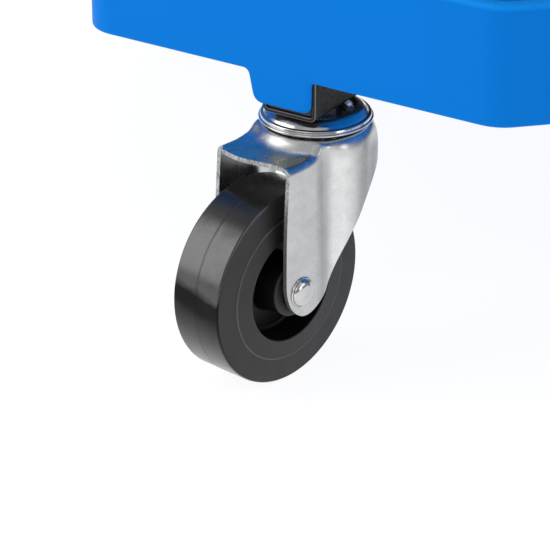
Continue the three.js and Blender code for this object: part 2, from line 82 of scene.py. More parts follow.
FLOOR_Z1 = FLOOR_Z0 + FLOOR_T
RIB_T = 3.0
RIB_TOP = 150.0
RIB_X = 58.0
RING_HALF = 64.0
TAB_Z0 = 103.1
CHAMFER_D = math.sqrt(2) * TRAY_HALF - TRAY_CHAMFER / 2
SWIVEL_D = CHAMFER_D - 20.0
TAB_T = 1.3
TUBE_END_D = SWIVEL_D + 20.0 - TAB_T - 0.15
LEG = 20.0
LEG_D = 118.0
LEG_FOOT_T = 3.0
SEAT_PLATE_Z0 = 318.0
SEAT_PLATE_T = 3.0
SEAT_PLATE_HALF = 125.0
SCREW_D = 90.0
BOARD_HALF = 172.0
BOARD_T = 12.0
SEAT_HALF = 178.0
SEAT_CORNER = 46.0
SEAT_TOP = 392.0
LEG_Z0 = FLOOR_Z1 + GAP
LEG_Z1 = SEAT_PLATE_Z0 - GAP
CORNERS = ["front_left", "front_right", "rear_right", "rear_left"]


# ---------------------------------------------------------------- mesh helpers
def turn_z(deg):
    return Matrix.Rotation(math.radians(deg), 4, "Z")


def shift(x, y, z):
    return Matrix.Translation(Vector((x, y, z)) / 1000.0)


def make_mesh(name, verts, faces, mats=(), face_mat=None, sharp=32.0, flip=False):
    """A mesh from millimetre points."""
    me = bpy.data.meshes.new(name)
    v = np.asarray(verts, float) / 1000.0
    me.from_pydata(v.tolist(), [], [list(f) for f in faces])
    me.validate()
    bm = bmesh.new()
    bm.from_mesh(me)
    bmesh.ops.remove_doubles(bm, verts=bm.verts, dist=1e-7)
    if flip is None:
        bmesh.ops.recalc_face_normals(bm, faces=bm.faces)
    elif flip:
        bmesh.ops.reverse_faces(bm, faces=bm.faces)
    bm.to_mesh(me)
    bm.free()
    for m in mats:
        me.materials.append(m)
    if face_mat is not None and len(face_mat) == len(me.polygons):
        me.polygons.foreach_set("material_index", face_mat)
    me.shade_smooth()
    if sharp:
        me.set_sharp_from_angle(angle=math.radians(sharp))
    return me


def place(name, me, body, stands_for=(), matrix=None, weighted=False):
    o = bpy.data.objects.new(name, me)
    bpy.context.scene.collection.objects.link(o)
    if matrix is not None:
        o.matrix_world = matrix
    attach(o, body)
    if stands_for:
        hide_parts(*stands_for)
    if weighted:
        w = o.modifiers.new("even_normals", "WEIGHTED_NORMAL")
        w.keep_sharp = True
        w.weight = 60
    return o


def rounded_path(points, steps=6, closed=True):
    """Corners [x, y, radius] of an outline become arcs."""
    out = []
    n = len(points)
    for i, q in enumerate(points):
        r = q[2] if len(q) > 2 else 0.0
        p = Vector((q[0], q[1]))
        if r <= 0 or (not closed and i in (0, n - 1)):
            out.append((p.x, p.y))
            continue
        a = Vector(points[(i - 1) % n][:2]) - p
        b = Vector(points[(i + 1) % n][:2]) - p
        la, lb = a.length, b.length
        a.normalize()
        b.normalize()
        half = math.acos(max(-1.0, min(1.0, a.dot(b)))) / 2
        if half < 1e-3 or abs(half - math.pi / 2) < 1e-3:
            out.append((p.x, p.y))
            continue
        d = min(r / math.tan(half), la * 0.49, lb * 0.49)
        r = d * math.tan(half)
        c = p + (a + b).normalized() * (r / math.sin(half))
        s, e = p + a * d - c, p + b * d - c
        a0 = math.atan2(s.y, s.x)
        sweep = math.atan2(e.y, e.x) - a0
        while sweep > math.pi:
            sweep -= 2 * math.pi
        while sweep < -math.pi:
            sweep += 2 * math.pi
        for k in range(steps + 1):
            t = a0 + sweep * k / steps
            out.append((c.x + r * math.cos(t), c.y + r * math.sin(t)))
    return out


def grid_faces(rows, cols, close_rows=False, close_cols=False, base=0):
    f = []
    for i in range(rows if close_rows else rows - 1):
        for j in range(cols if close_cols else cols - 1):
            a = base + i * cols + j
            b = base + i * cols + (j + 1) % cols
            c = base + ((i + 1) % rows) * cols + (j + 1) % cols
            d = base + ((i + 1) % rows) * cols + j
            f.append((a, b, c, d))
    return f


def thicken(verts, faces, t, most=1.2):
    """A sheet of thickness t behind an open surface: points, faces and a material number for each face."""
    v = np.array(verts, float)
    acc = np.zeros_like(v)
    fn = []
    for f in faces:
        p = v[list(f)]
        n = np.cross(p[2] - p[0], p[-1] - p[1])
        fn.append(n)
        for i in f:
            acc[i] += n
    ln = np.linalg.norm(acc, axis=1)
    ln[ln == 0] = 1
    nrm = acc / ln[:, None]
    # how far to go so that the faces around stay t away
    dots = np.ones(len(v))
    for f, n in zip(faces, fn):
        l = np.linalg.norm(n)
        if l == 0:
            continue
        for i in f:
            dots[i] = min(dots[i], float(nrm[i] @ n) / l)
    k = np.minimum(1 / np.maximum(dots, 0.3), most)
    inner = v - nrm * (t * k)[:, None]
    count = {}
    for f in faces:
        for a, b in zip(f, (*f[1:], f[0])):
            count[(a, b)] = count.get((a, b), 0) + 1
    m = len(v)
    out = list(faces) + [tuple(m + i for i in reversed(f)) for f in faces]
    mats = [0] * (2 * len(faces))
    for a, b in count:
        if (b, a) not in count:
            out.append((b, a, m + a, m + b))
            mats.append(1)
    return np.r_[v, inner], out, mats


def supported(points, gap=0.3, least=1.6, closed=True):
    """Adds points near both ends of the long stretches, so that smooth shading stays flat between rounded edges."""
    out = []
    n = len(points)
    for i in range(n):
        a = np.array(points[i], float)
        out.append(tuple(a))
        if i == n - 1 and not closed:
            break
        b = np.array(points[(i + 1) % n], float)
        d = np.linalg.norm(b - a)
        if d > least:
            out.append(tuple(a + (b - a) * gap / d))
            out.append(tuple(b - (b - a) * gap / d))
    return out


def lathe(profile, segments=96, closed=True):
    """[radius, height] pairs turned about Z. A closed profile makes a ring; an open one starts and ends on the axis."""
    t = np.linspace(0, 2 * math.pi, segments, endpoint=False)
    verts, faces = [], []
    prof = list(profile)
    if closed:
        for r, z in prof:
            verts += [(r * math.cos(a), r * math.sin(a), z) for a in t]
        faces = grid_faces(len(prof), segments, close_rows=True, close_cols=True)
        return verts, faces
    inner = prof[1:-1]
    for r, z in inner:
        verts += [(r * math.cos(a), r * math.sin(a), z) for a in t]
    faces = grid_faces(len(inner), segments, close_cols=True)
    first, last = len(verts), len(verts) + 1
    verts += [(0, 0, prof[0][1]), (0, 0, prof[-1][1])]
    m = (len(inner) - 1) * segments
    for j in range(segments):
        k = (j + 1) % segments
        faces.append((first, k, j))
        faces.append((last, m + j, m + k))
    return verts, faces


def lathe_mesh(name, profile, mats, segments=96, closed=True, sharp=38.0, transform=None, mat_of=None):
    verts, faces = lathe(profile, segments, closed)
    v = np.array(verts, float)
    if transform is not None:
        v = v @ np.array(transform, float)[:3, :3].T + np.array(transform, float)[:3, 3]
    fm = None
    if mat_of is not None:
        fm = [mat_of(*profile[min(i // segments, len(profile) - 1)]) for i in range(len(faces))]
    return make_mesh(name, v, faces, mats, fm, sharp, flip=None)


def prism_mesh(name, outline, z0, z1, mats, edge=0.6, steps=3, holes=(), sharp=32.0, transform=None):
    """An outline raised from z0 to z1, with its long edges rounded. Outline counter-clockwise."""
    bm = bmesh.new()
    vs = [bm.verts.new((x / 1000, y / 1000, z0 / 1000)) for x, y in outline]
    f = bm.faces.new(vs)
    made = bmesh.ops.extrude_face_region(bm, geom=[f])
    top = [e for e in made["geom"] if isinstance(e, bmesh.types.BMVert)]
    bmesh.ops.translate(bm, verts=top, vec=(0, 0, (z1 - z0) / 1000))
    bmesh.ops.recalc_face_normals(bm, faces=bm.faces)
    if edge:
        rim = [
            e
            for e in bm.edges
            if len(e.link_faces) == 2
            and abs(abs(e.link_faces[0].normal.z) - abs(e.link_faces[1].normal.z)) > 0.5
        ]
        bmesh.ops.bevel(
            bm, geom=rim, offset=edge / 1000, segments=steps, profile=0.5, affect="EDGES"
        )
    if transform is not None:
        bmesh.ops.transform(bm, matrix=transform, verts=bm.verts)
    me = bpy.data.meshes.new(name)
    bm.to_mesh(me)
    bm.free()
    for m in mats:
        me.materials.append(m)
    me.shade_smooth()
    me.set_sharp_from_angle(angle=math.radians(sharp))
    return me


def join_meshes(name, meshes):
    bm = bmesh.new()
    for me in meshes:
        bm.from_mesh(me)
    out = bpy.data.meshes.new(name)
    bm.to_mesh(out)
    bm.free()
    for m in meshes[0].materials:
        out.materials.append(m)
    out.shade_smooth()
    out.set_sharp_from_angle(angle=math.radians(35))
    return out


# ---------------------------------------------------------------- materials
def material(name):
    m = bpy.data.materials.new(name)
    m.use_nodes = True
    t = m.node_tree
    b = t.nodes["Principled BSDF"]
    c = t.nodes.new("ShaderNodeTexCoord")
    return m, t, b, c.outputs["Object"]


def noise_node(t, vector, scale, detail=2.0, rough=0.5, stretch=None):
    if stretch is not None:
        mp = t.nodes.new("ShaderNodeMapping")
        mp.inputs["Scale"].default_value = stretch
        t.links.new(vector, mp.inputs["Vector"])
        vector = mp.outputs["Vector"]
    n = t.nodes.new("ShaderNodeTexNoise")
    n.inputs["Scale"].default_value = scale
    n.inputs["Detail"].default_value = detail
    n.inputs["Roughness"].default_value = rough
    t.links.new(vector, n.inputs["Vector"])
    return n.outputs["Fac"]


def ramp_value(t, fac, a, b, lo=0.3, hi=0.7):
    """fac from lo to hi becomes a value from a to b."""
    m = t.nodes.new("ShaderNodeMapRange")
    m.inputs["From Min"].default_value = lo
    m.inputs["From Max"].default_value = hi
    m.inputs["To Min"].default_value = a
    m.inputs["To Max"].default_value = b
    m.clamp = True
    t.links.new(fac, m.inputs["Value"])
    return m.outputs["Result"]


def ramp_colour(t, fac, stops):
    r = t.nodes.new("ShaderNodeValToRGB")
    e = r.color_ramp.elements
    while len(e) < len(stops):
        e.new(0.5)
    for k, (pos, col) in enumerate(stops):
        e[k].position = pos
        e[k].color = (*col, 1)
    t.links.new(fac, r.inputs["Fac"])
    return r.outputs["Color"]


def bump(t, b, layers, bevel=None):
    """layers: (height output, strength, distance in metres)."""
    last = None
    for h, strength, dist in layers:
        n = t.nodes.new("ShaderNodeBump")
        n.inputs["Strength"].default_value = strength
        n.inputs["Distance"].default_value = dist
        t.links.new(h, n.inputs["Height"])
        if last is not None:
            t.links.new(last, n.inputs["Normal"])
        last = n.outputs["Normal"]
    t.links.new(last, b.inputs["Normal"])


def blue_material():
    m, t, b, v = material("blue_moulding")
    big = noise_node(t, v, 9.0, 2.0)
    body = ramp_colour(t, big, [(0.35, (0.0009, 0.190, 0.700)), (0.65, (0.0011, 0.201, 0.730))])
    # painted light: the faces that look up, such as the rim, are painted a little lighter, standing in for light from
    # above
    g = t.nodes.new("ShaderNodeNewGeometry")
    n = t.nodes.new("ShaderNodeSeparateXYZ")
    t.links.new(g.outputs["Normal"], n.inputs["Vector"])
    mix = t.nodes.new("ShaderNodeMix")
    mix.data_type = "RGBA"
    mix.inputs["B"].default_value = (0.006, 0.285, 0.920, 1)
    t.links.new(ramp_value(t, n.outputs["Z"], 0.0, 1.0, 0.12, 0.60), mix.inputs["Factor"])
    t.links.new(body, mix.inputs["A"])
    t.links.new(mix.outputs["Result"], b.inputs["Base Color"])
    fine = noise_node(t, v, 620.0, 3.0, 0.55)
    t.links.new(ramp_value(t, noise_node(t, v, 130.0, 3.0), 0.40, 0.48), b.inputs["Roughness"])
    b.inputs["Specular IOR Level"].default_value = 0.04
    bump(t, b, [(fine, 0.08, 0.0002)])
    return m


def zinc_material(name="zinc_plate", rough=(0.25, 0.34), tone=0.56, grain=0.06, along=None, warm=1.0):
    """along: [(x in millimetres, factor), ...] paints light and shade onto a pressed part's walls along its own X: a
    factor above 1 is a painted highlight, below 1 painted shade.
    """
    m, t, b, v = material(name)
    b.inputs["Metallic"].default_value = 1.0
    cloud = noise_node(t, v, 130.0, 6.0, 0.74)
    base = ramp_colour(
        t,
        cloud,
        [
            (0.34, (0.88 * tone, 0.885 * tone, 0.895 * tone * warm)),
            (0.66, (1.09 * tone, 1.09 * tone, 1.08 * tone * warm)),
        ],
    )
    if along:
        sep = t.nodes.new("ShaderNodeSeparateXYZ")
        t.links.new(v, sep.inputs["Vector"])
        lo, hi = along[0][0], along[-1][0]
        fx = ramp_value(t, sep.outputs["X"], 0.0, 1.0, lo / 1000, hi / 1000)
        walls = ramp_value(t, sep.outputs["Z"], 0.0, 1.0, 0.0895, 0.0845)
        # painted highlight and shade along the walls, by the factors in along
        painted_light = ramp_colour(t, fx, [((x - lo) / (hi - lo), (k, k, k)) for x, k in along])
        mix = t.nodes.new("ShaderNodeMix")
        mix.data_type = "RGBA"
        mix.blend_type = "MULTIPLY"
        t.links.new(walls, mix.inputs["Factor"])
        t.links.new(base, mix.inputs["A"])
        t.links.new(painted_light, mix.inputs["B"])
        # painted reflection colour: the flat of the plate, where the tray's blue shows in it, is tinted yellow so that
        # the blue reflection looks greyer
        top = t.nodes.new("ShaderNodeMix")
        top.data_type = "RGBA"
        top.blend_type = "MULTIPLY"
        flat = t.nodes.new("ShaderNodeMath")
        flat.operation = "MULTIPLY"
        t.links.new(ramp_value(t, sep.outputs["Z"], 0.0, 1.0, 0.0845, 0.0880), flat.inputs[0])
        t.links.new(ramp_value(t, sep.outputs["X"], 0.0, 1.0, 0.0225, 0.0290), flat.inputs[1])
        t.links.new(flat.outputs["Value"], top.inputs["Factor"])
        t.links.new(mix.outputs["Result"], top.inputs["A"])
        top.inputs["B"].default_value = (1.0, 1.0, 0.80, 1)
        base = top.outputs["Result"]
    t.links.new(base, b.inputs["Base Color"])
    fine = noise_node(t, v, 1400.0, 2.0, 0.5)
    t.links.new(ramp_value(t, noise_node(t, v, 260.0, 3.0, 0.6), *rough), b.inputs["Roughness"])
    bump(t, b, [(fine, grain, 0.0002)])
    return m


def cut_edge_material():
    m, t, b, v = material("sheared_edge")
    b.inputs["Metallic"].default_value = 1.0
    n = noise_node(t, v, 1300.0, 4.0, 0.7, stretch=(1, 1, 0.45))
    t.links.new(
        ramp_colour(t, n, [(0.34, (0.17, 0.175, 0.18)), (0.5, (0.40, 0.405, 0.41)), (0.7, (0.62, 0.625, 0.63))]),
        b.inputs["Base Color"],
    )
    t.links.new(ramp_value(t, n, 0.62, 0.36), b.inputs["Roughness"])
    bump(t, b, [(n, 0.35, 0.0003)])
    return m


def rubber_material(name, base, rough, streak, gloss=0.5, ior=1.5):
    m, t, b, v = material(name)
    cloud = noise_node(t, v, 70.0, 4.0, 0.6)
    t.links.new(
        ramp_colour(t, cloud, [(0.3, (base * 0.85,) * 3), (0.72, (base * 1.18, base * 1.18, base * 1.2))]),
        b.inputs["Base Color"],
    )
    t.links.new(ramp_value(t, noise_node(t, v, 110.0, 5.0, 0.65), rough[0], rough[1]), b.inputs["Roughness"])
    b.inputs["Specular IOR Level"].default_value = gloss
    b.inputs["IOR"].default_value = ior
    swell = noise_node(t, v, 45.0, 2.0)
    fine = noise_node(t, v, 1100.0, 3.0, 0.6)
    bump(t, b, [(swell, streak, 0.0009), (fine, 0.05, 0.0002)])
    return m


def tread_material():
    """Rubber whose specular level is painted by which way the tread faces in the world: high above and below, and low
    round the part that faces sideways, a painted dark band in its reflection.
    """
    m = rubber_material("tread_rubber", 0.014, (0.17, 0.32), 0.25, 0.72, 1.55)
    t = m.node_tree
    b = t.nodes["Principled BSDF"]
    c = t.nodes.new("ShaderNodeTexCoord")
    v = c.outputs["Object"]
    g = t.nodes.new("ShaderNodeNewGeometry")
    n = t.nodes.new("ShaderNodeSeparateXYZ")
    t.links.new(g.outputs["Normal"], n.inputs["Vector"])
    q = t.nodes.new("ShaderNodeSeparateXYZ")
    t.links.new(v, q.inputs["Vector"])
    lean = t.nodes.new("ShaderNodeMath")
    lean.operation = "MULTIPLY_ADD"
    lean.inputs[1].default_value = 5.2
    t.links.new(q.outputs["Y"], lean.inputs[0])
    t.links.new(n.outputs["Z"], lean.inputs[2])
    rough = t.nodes.new("ShaderNodeMath")
    rough.operation = "MULTIPLY_ADD"
    rough.inputs[1].default_value = 0.16
    t.links.new(noise_node(t, v, 95.0, 4.0, 0.6), rough.inputs[0])
    t.links.new(lean.outputs["Value"], rough.inputs[2])
    f = ramp_value(t, rough.outputs["Value"], 0.0, 1.0, -1.0, 1.0)
    # the value runs from -1 at the bottom to 1 on top; noise adds about 0.08
    def at(z):
        return (z + 0.08 + 1) / 2

    # painted reflection: this ramp sets the specular level by the tread's height and which way it faces in the world
    gloss = ramp_colour(
        t,
        f,
        [
            (at(-0.95), (1.0,) * 3), (at(-0.55), (0.85,) * 3), (at(-0.25), (0.34,) * 3), (at(-0.07), (0.14,) * 3),
            (at(0.0), (0.03,) * 3), (at(0.14), (0.03,) * 3), (at(0.22), (0.82,) * 3), (at(0.7), (0.84,) * 3), (at(0.9), (0.35,) * 3),
        ],
    )
    t.links.new(gloss, b.inputs["Specular IOR Level"])
    return m


def coat_material():
    m, t, b, v = material("powder_coat")
    n = noise_node(t, v, 850.0, 3.0, 0.6)
    t.links.new(
        ramp_colour(t, n, [(0.35, (0.004, 0.0035, 0.003)), (0.68, (0.018, 0.015, 0.013))]),
        b.inputs["Base Color"],
    )
    t.links.new(ramp_value(t, n, 0.62, 0.44), b.inputs["Roughness"])
    b.inputs["Specular IOR Level"].default_value = 0.3
    bump(t, b, [(n, 0.55, 0.0005)])
    return m


def plain_black(name, base, rough, grain=0.12):
    m, t, b, v = material(name)
    n = noise_node(t, v, 900.0, 2.0)
    cloud = noise_node(t, v, 60.0, 3.0)
    t.links.new(
        ramp_colour(t, cloud, [(0.3, (base * 0.8,) * 3), (0.7, (base * 1.2,) * 3)]), b.inputs["Base Color"]
    )
    t.links.new(ramp_value(t, cloud, rough - 0.05, rough + 0.06), b.inputs["Roughness"])
    bump(t, b, [(n, grain, 0.0002)])
    return m


def vinyl_material():
    m, t, b, v = material("grained_vinyl")
    vor = t.nodes.new("ShaderNodeTexVoronoi")
    vor.feature = "DISTANCE_TO_EDGE"
    vor.inputs["Scale"].default_value = 430.0
    warp = t.nodes.new("ShaderNodeTexNoise")
    warp.inputs["Scale"].default_value = 180.0
    t.links.new(v, warp.inputs["Vector"])
    mixv = t.nodes.new("ShaderNodeVectorMath")
    mixv.operation = "MULTIPLY_ADD"
    mixv.inputs[1].default_value = (0.0035, 0.0035, 0.0035)
    t.links.new(warp.outputs["Color"], mixv.inputs[0])
    t.links.new(v, mixv.inputs[2])
    t.links.new(mixv.outputs["Vector"], vor.inputs["Vector"])
    cells = ramp_value(t, vor.outputs["Distance"], 0.0, 1.0, 0.0, 0.22)
    fine = noise_node(t, v, 1500.0, 3.0)
    t.links.new(
        ramp_colour(t, cells, [(0.0, (0.007, 0.007, 0.008)), (0.5, (0.019, 0.019, 0.021))]), b.inputs["Base Color"]
    )
    t.links.new(ramp_value(t, noise_node(t, v, 40.0, 3.0), 0.38, 0.5), b.inputs["Roughness"])
    b.inputs["Sheen Weight"].default_value = 0.05
    bump(t, b, [(noise_node(t, v, 22.0, 2.0), 0.25, 0.002), (cells, 0.45, 0.0004), (fine, 0.1, 0.0002)])
    return m


def plywood_material():
    m, t, b, v = material("plywood")
    grain = noise_node(t, v, 60.0, 6.0, 0.65, stretch=(0.6, 9.0, 9.0))
    sep = t.nodes.new("ShaderNodeSeparateXYZ")
    t.links.new(v, sep.inputs["Vector"])
    ply = t.nodes.new("ShaderNodeMath")
    ply.operation = "SINE"
    mul = t.nodes.new("ShaderNodeMath")
    mul.operation = "MULTIPLY"
    mul.inputs[1].default_value = 2 * math.pi / 0.0034
    t.links.new(sep.outputs["Z"], mul.inputs[0])
    t.links.new(mul.outputs["Value"], ply.inputs[0])
    mix = t.nodes.new("ShaderNodeMath")
    mix.operation = "MULTIPLY_ADD"
    mix.inputs[1].default_value = 0.16
    t.links.new(ply.outputs["Value"], mix.inputs[0])
    t.links.new(grain, mix.inputs[2])
    t.links.new(
        ramp_colour(t, mix.outputs["Value"], [(0.25, (0.30, 0.17, 0.075)), (0.5, (0.50, 0.33, 0.17)), (0.75, (0.66, 0.48, 0.28))]),
        b.inputs["Base Color"],
    )
    b.inputs["Roughness"].default_value = 0.68
    bump(t, b, [(grain, 0.3, 0.0005)])
    return m


def weld_material():
    m, t, b, v = material("painted_weld")
    n = noise_node(t, v, 500.0, 4.0, 0.7)
    t.links.new(ramp_colour(t, n, [(0.3, (0.010, 0.009, 0.009)), (0.7, (0.040, 0.035, 0.032))]), b.inputs["Base Color"])
    t.links.new(ramp_value(t, n, 0.6, 0.4), b.inputs["Roughness"])
    bump(t, b, [(n, 0.6, 0.0006)])
    return m


M_BLUE = blue_material()
M_ZINC = zinc_material()
# the fork's table paints a highlight on the ridge, and shade in the groove and round the back of the shoulder
M_FORK = zinc_material(
    "zinc_fork", (0.25, 0.34), 0.57, 0.035,
    [(-24, 0.40), (-12, 0.46), (-7, 0.56), (-4.5, 0.72), (-2, 0.60), (0.5, 0.68), (3.5, 1.0), (7.5, 1.28), (10.8, 1.26), (13.2, 0.80), (15.6, 0.66), (19.5, 0.93), (35, 0.96)],
)
M_ZINC_BRIGHT = zinc_material("zinc_bright", (0.14, 0.21), 0.59, 0.025, None, 0.99)
M_CUT = cut_edge_material()
M_STEEL = zinc_material("bearing_steel", (0.18, 0.3), 0.45, 0.08)
M_TREAD = tread_material()
M_SIDE = rubber_material("side_rubber", 0.016, (0.46, 0.56), 0.12, 0.42)
M_HUB = rubber_material("hub_plastic", 0.016, (0.46, 0.54), 0.08, 0.42)
# painted highlight: a lighter rubber along the hub's raised outer edge
M_RING_HIGHLIGHT = rubber_material("ring_edge_painted_highlight", 0.045, (0.34, 0.44), 0.06, 0.7)
# painted shade: the hub's recess is the same plastic as the hub, painted darker
M_RECESS_SHADE = plain_black("hub_recess_painted_shade", 0.005, 0.45, 0.1)
M_PLUG = plain_black("plug_plastic", 0.014, 0.5, 0.2)
M_COAT = coat_material()
M_WELD = weld_material()
# painted highlight: grey for the edges at the tubes' ends, standing in for the light they catch
M_EDGE_HIGHLIGHT = plain_black("tube_edge_painted_highlight", 0.16, 0.42, 0.3)
M_VINYL = vinyl_material()
M_THREAD = plain_black("seam_thread", 0.03, 0.7, 0.4)
M_PLY = plywood_material()
M_FOAM = plain_black("foam", 0.4, 0.9, 0.5)


# painted shade: the recess also reflects less than the hub round it
M_RECESS_SHADE.node_tree.nodes["Principled BSDF"].inputs["Specular IOR Level"].default_value = 0.2


# ---------------------------------------------------------------- caster, in its own frame
def smoothstep(x, a, b):
    t = np.clip((x - a) / (b - a), 0.0, 1.0)
    return t * t * (3 - 2 * t)


def boss_height(r):
    """Rise of the fork's round seat above its plate."""
    return np.interp(
        r,
        [0.0, 17.2, 18.3, 19.4, 20.2, 21.2, 22.2, 23.2, 24.5, 26.5, 29.0, 31.0],
        [3.65, 3.65, 4.3, 4.9, 4.95, 4.5, 3.4, 2.15, 1.15, 0.45, 0.08, 0.0],
    )


def plan_side():
    """Outer face of the fork's wall in plan, from the near leg's front edge to the middle of the back."""
    k = [
        (33.4, 18.0), (30.5, 18.0), (27.5, 18.0), (24.0, 18.0), (21.0, 18.0), (18.8, 17.8), (16.8, 17.38),
        (15.0, 17.2), (13.2, 17.6), (11.5, 18.5), (9.8, 19.62), (8.2, 20.65), (6.4, 21.6), (4.4, 22.28),
        (2.2, 22.72), (0.0, 22.9),
    ]
    for d in range(97, 181, 6):
        a = math.radians(d)
        k.append((FORK_SHOULDER_R * math.cos(a), FORK_SHOULDER_R * math.sin(a)))
    k[-1] = (-FORK_SHOULDER_R, 0.0)
    return k


LOW_EDGE = [
    # side view of the wall's lower edge, X and Z, from the front edge's foot to the back
    (34.9, 43.0), (34.7, 39.5), (33.8, 35.6), (31.9, 31.8), (29.1, 29.0), (25.9, 27.4), (22.6, 27.3), (19.4, 28.5),
    (16.6, 30.4), (14.2, 33.0), (12.6, 36.6), (11.0, 41.2), (8.1, 48.4), (4.2, 55.8), (1.2, 60.6), (-1.8, 65.8),
    (-5.0, 70.2), (-9.5, 75.0), (-15.0, 78.6), (-19.5, 80.2), (-23.0, 80.8),
]


def spline(points, n):
    """n points at even steps along a smooth curve through the points."""
    p = np.array(points, float)
    d = np.r_[0, np.cumsum(np.linalg.norm(np.diff(p, axis=0), axis=1))]
    fine = np.linspace(0, d[-1], 1200)
    out = []
    for c in range(p.shape[1]):
        y = p[:, c]
        # monotone-ish cubic: finite difference tangents
        m = np.gradient(y, d)
        i = np.clip(np.searchsorted(d, fine, side="right") - 1, 0, len(d) - 2)
        h = d[i + 1] - d[i]
        s = (fine - d[i]) / h
        out.append(
            (2 * s**3 - 3 * s**2 + 1) * y[i]
            + (s**3 - 2 * s**2 + s) * h * m[i]
            + (-2 * s**3 + 3 * s**2) * y[i + 1]
            + (s**3 - s**2) * h * m[i + 1]
        )
    q = np.stack(out, 1)
    e = np.r_[0, np.cumsum(np.linalg.norm(np.diff(q, axis=0), axis=1))]
    w = np.linspace(0, e[-1], n)
    return np.stack([np.interp(w, e, q[:, c]) for c in range(q.shape[1])], 1)


